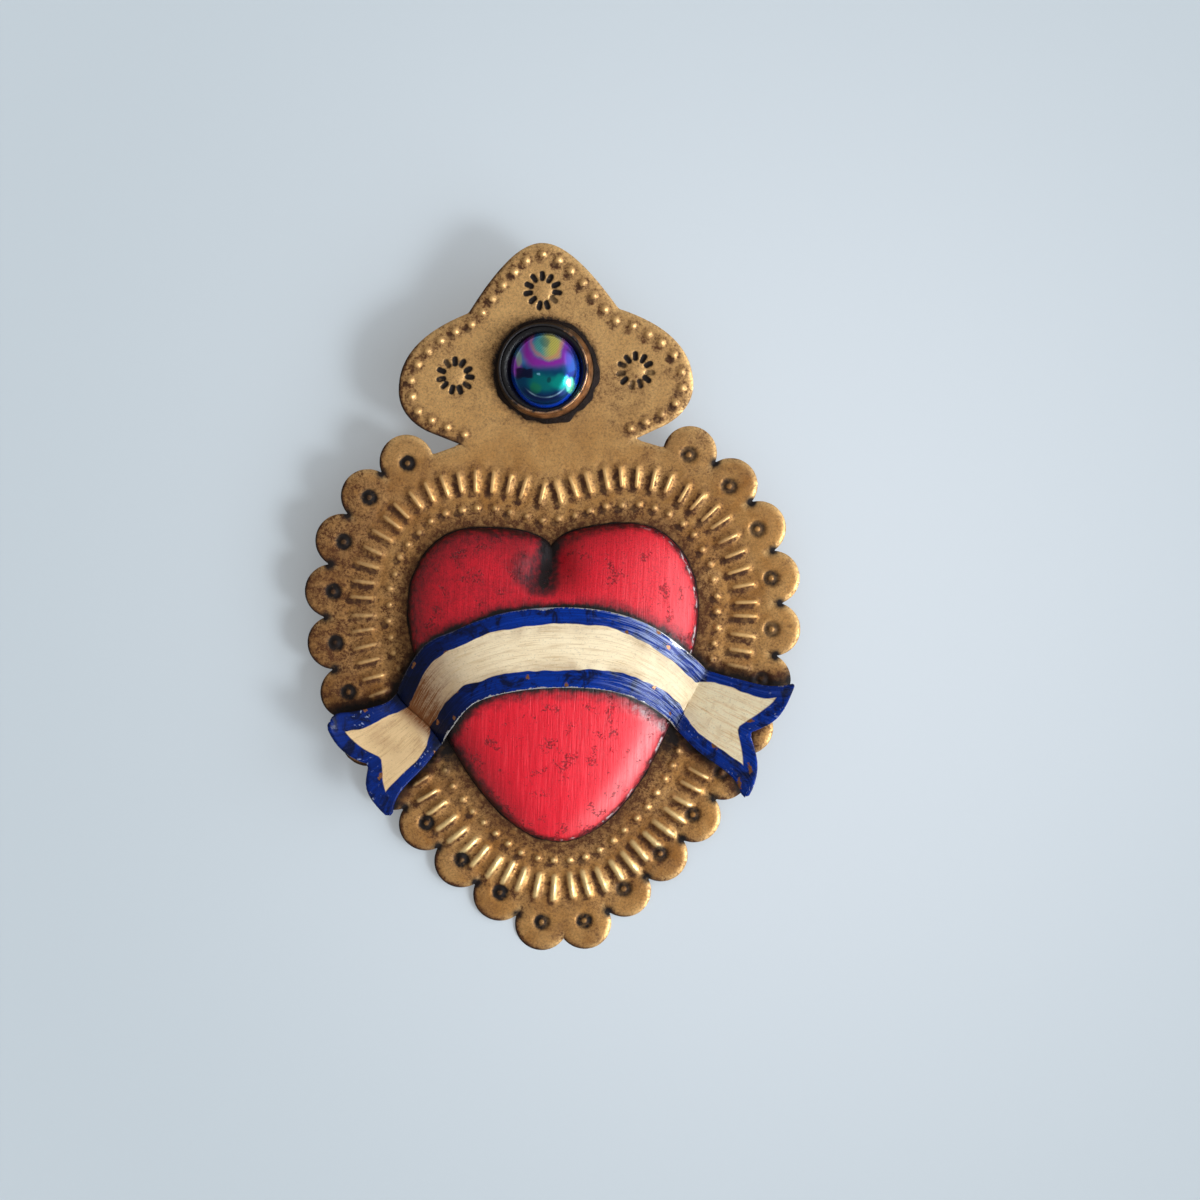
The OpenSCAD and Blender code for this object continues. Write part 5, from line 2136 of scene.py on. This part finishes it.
@dataclass
class Ribbon:
    """The strip banner, creased at the foot of the heart, with a swallow tail on each side.

    Attributes:
        over: Steps from the middle to a crease.
        beyond: Steps along a tail.
        across: Steps across the strip.
        thick: Thickness of its sheet.
        gap: Room between the strip and the heart.
        crease: Height of a crease's underside above the back of the plate.
        rise: How far a tail lifts.
        wide: Width of the strip that its paint is measured by.
        curl: How far its long edges are rolled down.
        band_top: Top edge from the middle to the right crease.
        band_low: Low edge of the same.
        tail_top: Top edge of the right tail.
        tail_low: Low edge of the same.
        notch: Where the right tail's notch comes to a point.
    """

    over: int = 64
    beyond: int = 26
    across: int = 26
    thick: float = 0.4
    gap: float = 0.4
    crease: float = 1.15
    rise: float = 7.0
    wide: float = 17.0
    curl: float = 0.16
    band_top: Curve = ((0, 7.5), (17, 7.5), (25.6, 1.2), (32.1, -8.2))
    band_low: Curve = ((0, -9.5), (13, -9.5), (20, -12.5), (25.2, -20))
    tail_top: Curve = ((32.1, -8.2), (36.6, -11.2), (43.6, -12.9), (50.2, -12.2))
    tail_low: Curve = ((25.2, -20), (29, -23), (36, -27.5), (38.4, -35.6))
    notch: Tuple[float, float] = (39.9, -21.2)
    STIFF: ClassVar[Tuple[float, float]] = (7.5, 0.03)  # a pull's reach and how far it gives
    # Where the even strip's places lie on the real one: x, y, then where they really are.
    PULLS: ClassVar[Tuple[Tuple[float, ...], ...]] = (
        (-50.2, -12.2, -50.1, -12.7), (-38.4, -35.6, -35.1, -38.3), (-39.9, -21.2, -40.2, -25.3),
        (-32.1, -8.2, -34.0, -10.8), (-25.2, -20.0, -24.6, -22.0), (-40.4, -11.6, -40.1, -13.5),
        (-32.3, -25.9, -29.5, -27.4), (-45.0, -16.7, -46.5, -20.3), (-39.2, -28.4, -40.1, -31.4),
        (-27.9, -3.0, -29.0, -2.0), (-22.9, 1.4, -23.6, 2.0), (-21.8, -16.0, -21.1, -16.7),
        (-17.8, -13.1, -17.8, -13.1), (-16.8, 4.7, -16.8, 4.7), (-9.0, -2.0, -9.0, -2.0),
        (50.2, -12.2, 51.1, -10.3), (39.9, -21.2, 41.1, -21.0), (38.4, -35.6, 39.2, -36.9),
        (39.2, -28.4, 42.2, -28.5), (45.0, -16.7, 47.0, -17.2), (40.4, -11.6, 40.7, -10.1),
        (32.1, -8.2, 32.1, -7.5), (25.2, -20.0, 25.2, -20.0), (32.3, -25.9, 31.9, -26.3),
        (27.9, -3.0, 27.9, -3.0), (21.8, -16.0, 21.8, -16.0), (16.0, -4.0, 16.0, -4.0))
    # The tails' four tips: the tip, places back along its side and its end, and its radius.
    TIPS: ClassVar[Tuple[Tuple[Spot, Spot, Spot, float], ...]] = (
        ((-50.2, -12.2), (-47.8, -12.7), (-47.6, -14.5), 1.5),
        ((-38.4, -35.6), (-37.4, -32.8), (-38.7, -32.7), 0.9),
        ((50.2, -12.2), (47.8, -12.7), (47.6, -14.5), 0.3),
        ((38.4, -35.6), (37.4, -32.8), (38.7, -32.7), 0.8))

    def edges(self, u: Array) -> Tuple[Array, Array]:
        """Finds the strip's long edges.

        Args:
            u: Places along it: 0 in the middle, 1 at the crease, 2 at the tail's end.

        Returns:
            The top and the low edge at each.
        """
        u = np.asarray(u, float)
        top, low = [np.where((u <= 1)[:, None], bezier(band, np.minimum(u, 1)),
                             bezier(tail, np.maximum(u - 1, 0))) for band,
                    tail in ((self.band_top, self.tail_top), (self.band_low, self.tail_low))]
        return top, low

    def heights(self) -> Tuple[Array, Array]:
        """Lays the strip taut over the heart and lifts its tail.

        Returns:
            Places along half the strip, and the height of the underside at each.
        """
        u = 1 - (1 - np.arange(self.over + 1) / self.over) ** 1.25
        top, low = self.edges(u)
        need = np.zeros(len(u))
        for w in np.linspace(0, 1, 17):
            need = np.maximum(need, HEART.dome(top * (1 - w) + low * w))
        z = np.maximum(self.crease, np.where(need > 0, SHEET + self.gap + need, 0))
        z[-1] = self.crease
        hull = [0]
        for i in range(1, len(u)):
            while len(hull) > 1:
                a, b = hull[-2], hull[-1]
                if (z[b] - z[a]) * (u[i] - u[a]) <= (z[i] - z[a]) * (u[b] - u[a]):
                    hull.pop()
                else:
                    break
            hull.append(i)
        taut = np.interp(u, u[hull], z[hull])
        k = np.arange(1, self.beyond + 1) / self.beyond
        return np.concatenate([u, 1 + k]), np.concatenate(
            [taut, self.crease + self.rise * k ** 1.15])

    @staticmethod
    def hang(p: Array) -> Array:
        """Moves points to where the hand-bent strip lies.

        Its left side droops and its tails' ends bow out.

        Args:
            p: Points in the sheet's plane on the even strip.

        Returns:
            The points on the real one.
        """
        table = np.array(Ribbon.PULLS)
        nodes, moves = table[:, :2], table[:, 2:] - table[:, :2]
        reach, give = Ribbon.STIFF

        def kernel(a: Array, b: Array) -> Array:
            """How strongly each pull acts on each point."""
            return np.exp(-np.sum((a[:, None] - b[None]) ** 2, axis=2) / reach ** 2)

        share = np.linalg.solve(kernel(nodes, nodes) + give * np.eye(len(nodes)), moves)
        out = p + kernel(p, nodes) @ share
        for *corner, radius in Ribbon.TIPS:
            q = np.array(corner)
            out = Ribbon.blunt(out, *(q + kernel(q, nodes) @ share), radius)
        return out

    @staticmethod
    def blunt(p: Array, tip: Array, side: Array, end: Array, radius: float) -> Array:
        """Rounds off one pointed tip of the strip.

        Args:
            p: Points in the sheet's plane.
            tip: Where the point would come to.
            side: A place back along the strip's edge.
            end: A place back along the tail's end.
            radius: Radius of the rounding, in millimetres.

        Returns:
            The points, those within the tip drawn back.
        """
        a, b = (side - tip) / np.linalg.norm(side - tip), (end - tip) / np.linalg.norm(end - tip)
        inward = (a + b) / np.linalg.norm(a + b)
        half = math.acos(float(np.clip(a @ inward, -1, 1)))
        centre = tip + inward * radius / math.sin(half)
        v = p - centre
        far = np.maximum(np.hypot(*v.T), 1e-9)
        turn = np.arccos(np.clip(-(v @ inward) / far, -1, 1))
        reach = np.where(turn < np.pi / 2 - half, np.cos(np.pi / 2 - half - turn), 1.0)
        return centre + v * reach[:, None]

    def outline(self) -> Array:
        """Outline of the whole strip in the sheet's plane, notches included.

        Returns:
            Its corners, in turn.
        """
        top, low = self.edges(np.linspace(0, 2, 81))
        half = np.concatenate([top, [self.notch], low[::-1]])
        return np.concatenate([half, half[::-1] * FLIP])

    def notch_place(self) -> Tuple[float, float]:
        """Finds the notch on the strip.

        Returns:
            Its place along the strip and across it, 0 at the top edge and 1 at the low one.
        """
        best = (1e9, 1.5, 0.5)
        for u in np.linspace(1, 2, 201):
            top, low = self.edges(np.array([u]))
            for w in np.linspace(0.2, 0.8, 121):
                p = top[0] * (1 - w) + low[0] * w
                d = float(np.hypot(*(p - np.array(self.notch))))
                if d < best[0]:
                    best = (d, float(u), float(w))
        return best[1], best[2]

    def build(self, palette: Palette) -> Object:
        """Builds the strip and stores each point's distance from the painted edges.

        Args:
            palette: The finishes.

        Returns:
            The finished piece.
        """
        line, high = self.heights()
        nu, nw = self.notch_place()
        ws = 0.5 - 0.5 * np.cos(np.linspace(0, np.pi, self.across + 1))
        ws = 0.6 * ws + 0.4 * np.linspace(0, 1, self.across + 1)
        end = np.where(ws < nw, 2 + (nu - 2) * ws / nw, 2 + (nu - 2) * (1 - ws) / (1 - nw))
        grid = np.empty((len(line), len(ws), 3))
        place = np.empty((len(line), len(ws)))
        for k, w in enumerate(ws):
            u = np.where(line > 1, 1 + (line - 1) * (end[k] - 1), line)
            top, low = self.edges(u)
            grid[:, k, :2] = top * (1 - w) + low * w
            grid[:, k, 2] = np.interp(u, line, high)
            place[:, k] = u
        left = grid[1:][::-1] * np.array([-1.0, 1.0, 1.0])
        full = np.concatenate([left, grid])
        place = np.concatenate([-place[1:][::-1], place])
        du = np.gradient(full, axis=0)
        dw = np.gradient(full, axis=1)
        up = np.cross(dw, du)
        up /= np.linalg.norm(up, axis=2, keepdims=True)
        up[up[:, :, 2] < 0] *= -1
        rows, cols = full.shape[:2]
        mid = full.mean(axis=1)
        walk = np.concatenate([[0], np.cumsum(np.linalg.norm(np.diff(mid, axis=0), axis=1))])
        topside = full + up * self.thick
        topside[:, :, 2] -= self.curl * np.exp(-np.minimum(ws, 1 - ws) * self.wide / 0.8)
        pts = np.concatenate([topside.reshape(-1, 3), full.reshape(-1, 3)])
        k = rows * cols
        faces: List[List[int]] = []
        for i in range(rows - 1):
            for j in range(cols - 1):
                a, b, c, d = i * cols + j, (i + 1) * cols + j, (
                    i + 1) * cols + j + 1, i * cols + j + 1
                faces.append([a, d, c, b])
                faces.append([a + k, b + k, c + k, d + k])
        ring = (
            [i * cols for i in range(rows)] + [(rows - 1) * cols + j for j in range(1, cols)] + [
                i * cols + cols - 1 for i in range(
                    rows - 2, -1, -1)] + [j for j in range(cols - 2, 0, -1)])
        for a, b in zip(ring, ring[1:] + ring[:1]):
            faces.append([a, b, b + k, a + k])
        hung = raised(self.hang(pts[:, :2]), pts[:, 2])
        obj = make_object("ribbon", SEAT.place(hung), faces, palette.cream)
        plan = full.reshape(-1, 3)[:, :2]
        q = right_half(plan)
        to_top, to_low = [nearest(q, line) for line in self.edges(np.linspace(0, 2, 241))]
        ends = [bezier((a, a, b, b), np.linspace(0, 1, 60)) for a,
                b in ((self.tail_top[3], self.notch), (self.notch, self.tail_low[3]))]
        to_end = nearest(q, np.concatenate(ends))
        edge = -polygon_distance(plan, self.outline())
        fold = (np.abs(place) - 1).ravel()
        fold = np.where(fold < 0, -fold * 22, fold * 60)
        slope = np.repeat(np.gradient(full[:, :, 2].mean(axis=1), walk), cols)
        slope = np.where(plan[:, 0] < -6, slope, 0.0) * (np.abs(place.ravel()) <= 1)
        tail = np.clip((np.abs(place.ravel()) - 0.92) / 0.3, 0, 1)
        fields = dict(slope=slope, tail=tail, top=to_top, low=to_low, end=to_end,
                      edge=np.maximum(edge, 0), fold=fold, side=plan[:, 0],
                      along=np.repeat(walk, cols), across=np.tile(ws * self.wide, rows))
        store(obj, **{name: np.concatenate([v, v]) for name, v in fields.items()})
        return keep_piece(obj, ["banner"])


TURN = 6.28  # the phases of a hand-made piece's lumps are drawn from 0 to this
GEM_SPAN = (7.25, 7.95)  # half width and half height that the coating is measured by


def revolve(name: str, profile: Sequence[Tuple[float, float]], material: Material,
            wobble: Callable[[Array, Array], Array], steps: int = 160,
            closed: bool = False) -> Object:
    """Turns a profile round the gem's axis.

    Args:
        name: The piece's name.
        profile: Radius and height pairs in millimetres above the sheet's face, outside upwards.
        material: Its finish.
        wobble: Takes angles and profile points, gives where the points really go.
        steps: Points round the axis.
        closed: Whether the profile is a loop; if not, both its ends are on the axis.

    Returns:
        The piece, seated.
    """
    prof = np.array(profile, float)
    ang = np.arange(steps) * 2 * np.pi / steps
    body = prof if closed else prof[1:-1]
    r = np.repeat(body[None], steps, axis=0)
    r = wobble(ang, r)
    pts = np.stack([r[..., 0] * np.cos(ang)[:, None], r[..., 0] * np.sin(ang)[:, None], r[..., 1]],
                   axis=2)
    m = len(body)
    pts = pts.reshape(-1, 3)
    faces: List[List[int]] = []
    for i in range(steps):
        a, b = i * m, ((i + 1) % steps) * m
        for j in range(m if closed else m - 1):
            e = (j + 1) % m
            faces.append([a + j, b + j, b + e, a + e])
        if not closed:
            faces.append([b, a, len(pts)])
            faces.append([a + m - 1, b + m - 1, len(pts) + 1])
    if not closed:
        pts = np.concatenate([pts, [[0, 0, prof[0, 1]], [0, 0, prof[-1, 1]]]])
    obj = make_object(name, SEAT.place(pts + np.array([*PATTERN.gem_at, SHEET])), faces, material)
    store(obj, rise=pts[:, 2], gem_u=pts[:, 0] / GEM_SPAN[0], gem_v=pts[:, 1] / GEM_SPAN[1])
    return obj


@dataclass
class GemSetting:
    """The glass gem, its cup, the bedding round it and the solder at its foot.

    Attributes:
        foot_r: Radius of the cup's foot.
        rim_r: Radius of its rim.
        wall: Thickness of its metal.
        high: Height of its wall.
        gem_r: Half width and half height of the gem.
        seeds: Seeds of the unevenness of cup, bedding and solder.
        heavy: Turn of the side that its maker pressed in, in radians.
    """

    foot_r: float = 10.45
    rim_r: float = 9.7
    wall: float = 0.45
    high: float = 3.2
    gem_r: Tuple[float, float] = (7.3, 7.95)
    seeds: Tuple[int, int, int] = (5, 9, 3)
    heavy: float = 0.72

    def build(self, palette: Palette) -> List[Object]:
        """Builds the four pieces.

        Args:
            palette: The finishes.

        Returns:
            The pieces.
        """
        return [self.cup(palette), self.bedding(palette), self.gem(palette), self.solder(palette)]

    def cup(self, palette: Palette) -> Object:
        """The copper cup with its rolled rim.

        Args:
            palette: The finishes.

        Returns:
            The finished piece.
        """
        roll = 0.27
        cx, cz = self.rim_r - self.wall / 2, self.high
        bead = [
            (cx + roll * math.cos(a),
             cz + roll * math.sin(a)) for a in np.radians(np.linspace(-35, 215, 13))]
        wall = [
            (self.foot_r + (self.rim_r - self.foot_r) * k,
             self.high * k) for k in (0.0, 0.2, 0.4, 0.6, 0.8)]
        inner = [(self.rim_r - self.wall, 2.4), (self.foot_r - self.wall - 0.15, 0.6),
                 (self.foot_r - self.wall - 0.4, self.wall), (4, self.wall), (0, self.wall)]
        prof = [(0, 0), (4, 0)] + wall + bead + inner
        rng = np.random.default_rng(self.seeds[0])
        ph = rng.uniform(0, TURN, 6)

        def bend(ang: Array, r: Array) -> Array:
            """Lets the hand-made cup run a little out of round.

            Args:
                ang: The angle of each copy of the profile.
                r: Its radius and height pairs.

            Returns:
                The same pairs, moved.
            """
            out = r.copy()
            k = sum(np.sin(n * ang + ph[n]) / n for n in range(2, 6))
            top = np.clip((r[..., 1] - 0.4) / 2.8, 0, 1)
            out[..., 0] += (0.07 * k - 0.24 - 0.58 * np.cos(ang + self.heavy))[:, None] * top
            out[..., 1] += 0.05 * k[:, None] * top
            return out

        obj = revolve("bezel_cup", prof, palette.copper, bend)
        return keep_piece(obj, ["bezel_collar"])

    def bedding(self, palette: Palette) -> Object:
        """The black putty between cup and gem.

        Args:
            palette: The finishes.

        Returns:
            The finished piece.
        """
        prof = [(6.0, 0.55), (self.foot_r - self.wall - 1.1, 0.55), (8.9, 2.3), (8.95, 2.85),
                (8.8, 3.12), (8.55, 3.26), (8.25, 3.22), (7.95, 3.0), (7.65, 2.65), (7.4, 2.3),
                (6.6, 2.1), (6.2, 1.4)]
        rng = np.random.default_rng(self.seeds[1])
        ph = rng.uniform(0, TURN, 12)

        def lump(ang: Array, r: Array) -> Array:
            """Makes the putty uneven on top.

            Args:
                ang: The angle of each copy of the profile.
                r: Its radius and height pairs.

            Returns:
                The same pairs, moved.
            """
            out = r.copy()
            k = sum(np.sin(n * ang + ph[n]) / n for n in range(3, 11))
            top = np.clip((r[..., 1] - 2.2) / 0.6, 0, 1)
            far = np.clip((r[..., 0] - 7.6) / 1.2, 0, 1)
            out[..., 1] += 0.05 * k[:, None] * top
            out[..., 0] += (0.2 - 0.54 * np.cos(ang + self.heavy))[:, None] * top * far
            return out

        obj = revolve("bedding", prof, palette.bedding, lump, closed=True)
        return keep_piece(obj, ["gem_bed"])

    def gem(self, palette: Palette) -> Object:
        """The domed glass, a little taller than it is wide.

        Args:
            palette: The finishes.

        Returns:
            The finished piece.
        """
        base, girdle, dome = 0.65, 2.4, 4.0
        arc = [
            (math.cos(a) ** 0.9,
             girdle + dome * math.sin(a)) for a in np.radians(np.linspace(0, 87, 26))]
        prof = [(0, base), (0.8, base), (0.97, base + 0.9),
                (1.0, girdle - 0.35)] + arc + [(0, girdle + dome)]

        def oval(ang: Array, r: Array) -> Array:
            """Gives the gem its oval plan.

            Args:
                ang: The angle of each copy of the profile.
                r: Its radius and height pairs.

            Returns:
                The same pairs, moved.
            """
            out = r.copy()
            a, b = self.gem_r
            out[..., 0] *= (
                a * b / np.sqrt((b * np.cos(ang)) ** 2 + (a * np.sin(ang)) ** 2))[:, None]
            return out

        obj = revolve("glass_gem", prof, palette.glass, oval, steps=128)
        return keep_piece(obj, ["gem"])

    def solder(self, palette: Palette) -> Object:
        """The lumpy dark fillet where the cup meets the plate.

        Args:
            palette: The finishes.

        Returns:
            The finished piece.
        """
        prof = [(self.foot_r - 0.3, -0.05), (self.foot_r + 0.95, -0.05), (self.foot_r + 0.9, 0.08),
                (self.foot_r + 0.4, 0.3), (self.foot_r, 0.62), (self.foot_r - 0.18, 0.85)]
        rng = np.random.default_rng(self.seeds[2])
        ph = rng.uniform(0, TURN, 24)

        def lump(ang: Array, r: Array) -> Array:
            """Makes the fillet run in and out.

            Args:
                ang: The angle of each copy of the profile.
                r: Its radius and height pairs.

            Returns:
                The same pairs, moved.
            """
            out = r.copy()
            k = sum(np.sin(n * ang + ph[n]) / n ** 0.6 for n in range(3, 24)) * 0.35
            far = np.clip((r[..., 0] - self.foot_r) / 0.95, 0, 1)
            out[..., 0] += (0.8 * k + 0.45 * np.cos(ang + self.heavy) - 0.35)[:, None] * far
            return out

        obj = revolve("bezel_fillet", prof, palette.solder, lump, steps=200, closed=True)
        return keep_piece(obj, ["bezel_solder"])


@dataclass
class BackFittings:
    """The parts kept from the CAD model, dressed in better finishes.

    Attributes:
        tin: Nodes of bare tin.
        solder: Nodes of solder.
    """

    tin: Tuple[str, ...] = ("hanging_strap",)
    solder: Tuple[str, ...] = (
        "strap_solder_left", "strap_solder_right", "banner_solder_left", "banner_solder_right")

    def build(self, palette: Palette) -> None:
        """Assigns the finishes to the CAD nodes' slots.

        Args:
            palette: The finishes.
        """
        for names, finish in ((self.tin, palette.tin), (self.solder, palette.solder)):
            for name in names:
                slots = bpy.data.objects[name].data.materials
                for k in range(len(slots)):
                    slots[k] = finish
                if not len(slots):
                    slots.append(finish)


@dataclass
class Studio:
    """Pale table, soft window light from the lower right, camera straight above.

    Attributes:
        width: Width of the picture at the table, in metres.
        roll: How far the camera is turned, in degrees.
        aim: The point under the middle of the picture.
        lens: Focal length in millimetres.
        sensor: Width of the camera's sensor in millimetres.
        sun_power: Strength of the window's light.
        sun_size: How wide the window looks from the table, in degrees.
        sun_way: Which way the window lies on the table.
        sun_high: How high it stands, in degrees.
        panels: Which way the two bright panels of the room lie.
        panel_size: Where a panel ends and where its full light starts, in degrees.
    """

    width: float = 0.2594
    roll: float = -1.75
    aim: Tuple[float, float, float] = (0.0101, -0.0003, 0.0)
    lens: float = 85.0
    sensor: float = 36.0
    sun_power: float = 1.3
    sun_size: float = 16.0
    sun_way: Spot = (0.9, -0.44)
    sun_high: float = 37.0
    panels: Tuple[Tuple[float, float, float], ...] = ((0.9, 0.1, 0.36), (0.78, -0.52, 0.4))
    panel_size: Tuple[float, float] = (30.0, 12.0)

    def build(self) -> None:
        """Sets up everything round the object."""
        self.floor()
        self.lights()
        self.camera()
        bpy.context.scene.view_settings.view_transform = "Standard"

    def floor(self) -> None:
        """The table top."""
        mat = bpy.data.materials.new("table_top")
        mat.use_nodes = True
        mat.node_tree.nodes.clear()
        t = Tree(mat.node_tree)
        shader = t.add("ShaderNodeBsdfPrincipled")
        out = t.add("ShaderNodeOutputMaterial")
        t.put(out.inputs[0], shader.outputs[0])
        x, y, _ = t.split(t.object_coords())
        glow = t.fade(t.far(t.over(t.less(x, 0.05), 0.15), t.over(y, 0.17)), 0.0, 1.25)
        shade = t.mix(glow, srgb(195, 206, 213), srgb(216, 225, 232))
        t.feed(shader, Base_Color=t.mix(1.0, shade, (0.74, 0.745, 0.75, 1.0), Blend.MULTIPLY),
               Emission_Color=t.mix(1.0, shade, (0.285, 0.268, 0.258, 1.0), Blend.MULTIPLY),
               Emission_Strength=1.0, Roughness=0.5, Specular_IOR_Level=0.25)
        v = np.array([[-2, -2, 0], [2, -2, 0], [2, 2, 0], [-2, 2, 0]], float)
        floor = make_object("table_top", v, [[0, 1, 2, 3]], mat, smooth=False)

    def lights(self) -> None:
        """Window and room."""
        sun = bpy.data.lights.new("window", "SUN")
        sun.energy = self.sun_power
        sun.angle = math.radians(self.sun_size)
        sun.color = (0.93, 0.97, 1.0)
        high = math.radians(self.sun_high)
        away = Vector((*self.sun_way, 0.0)).normalized() * math.cos(high)
        away.z = math.sin(high)
        link("window", sun).rotation_euler = away.to_track_quat("Z", "Y").to_euler()
        world = bpy.data.worlds.new("room")
        bpy.context.scene.world = world
        world.use_nodes = True
        world.node_tree.nodes.clear()
        t = Tree(world.node_tree)
        ray = t.add("ShaderNodeTexCoord").outputs["Generated"]

        def facing(way: Sequence[float]) -> Socket:
            """How far each direction of the room points a given way.

            Args:
                way: The way, as X, Y and Z.

            Returns:
                The cosine between the two.
            """
            dot = t.add("ShaderNodeVectorMath", operation="DOT_PRODUCT")
            t.fill(dot, ray, Vector(way).normalized())
            return dot.outputs["Value"]

        room = t.mix(t.span(facing((0.9, 0.1, 0.3)), -0.7, 0.6), (0.36, 0.345, 0.33, 1.0),
                     (0.5, 0.495, 0.49, 1.0))
        ends = [math.cos(math.radians(a)) for a in self.panel_size]
        lit = t.most(*[t.span(facing(way), *ends) for way in self.panels])
        sky = t.fill(t.add("ShaderNodeBackground"), t.mix(lit, room, (3.3, 3.5, 3.75, 1.0)), 1.0)
        t.put(t.add("ShaderNodeOutputWorld").inputs[0], sky)

    def camera(self) -> None:
        """The camera above the table."""
        data = bpy.data.cameras.new("camera")
        data.lens = self.lens
        data.sensor_width = self.sensor
        data.clip_end = 20
        cam = link("camera", data)
        cam.location = Vector(self.aim) + Vector((0, 0, self.width * self.lens / self.sensor))
        cam.rotation_euler = (0.0, 0.0, math.radians(self.roll))
        bpy.context.scene.camera = cam


class Milagro:
    """The whole charm."""

    def __init__(self) -> None:
        """Mixes the finishes."""
        self.palette = Palette.mix()

    def build(self) -> None:
        """Builds and dresses every piece."""
        ribbon = Ribbon()
        ChasedPlate().build(self.palette, ribbon)
        PaintedHeartDome().build(self.palette, ribbon)
        HeartSeam().build(self.palette)
        ribbon.build(self.palette)
        GemSetting().build(self.palette)
        BackFittings().build(self.palette)


def main() -> None:
    """Builds the charm and its studio."""
    logging.basicConfig(level=logging.INFO, format="%(message)s")
    Milagro().build()
    Studio().build()
    bpy.context.view_layer.update()


if __name__ == "__main__":
    main()
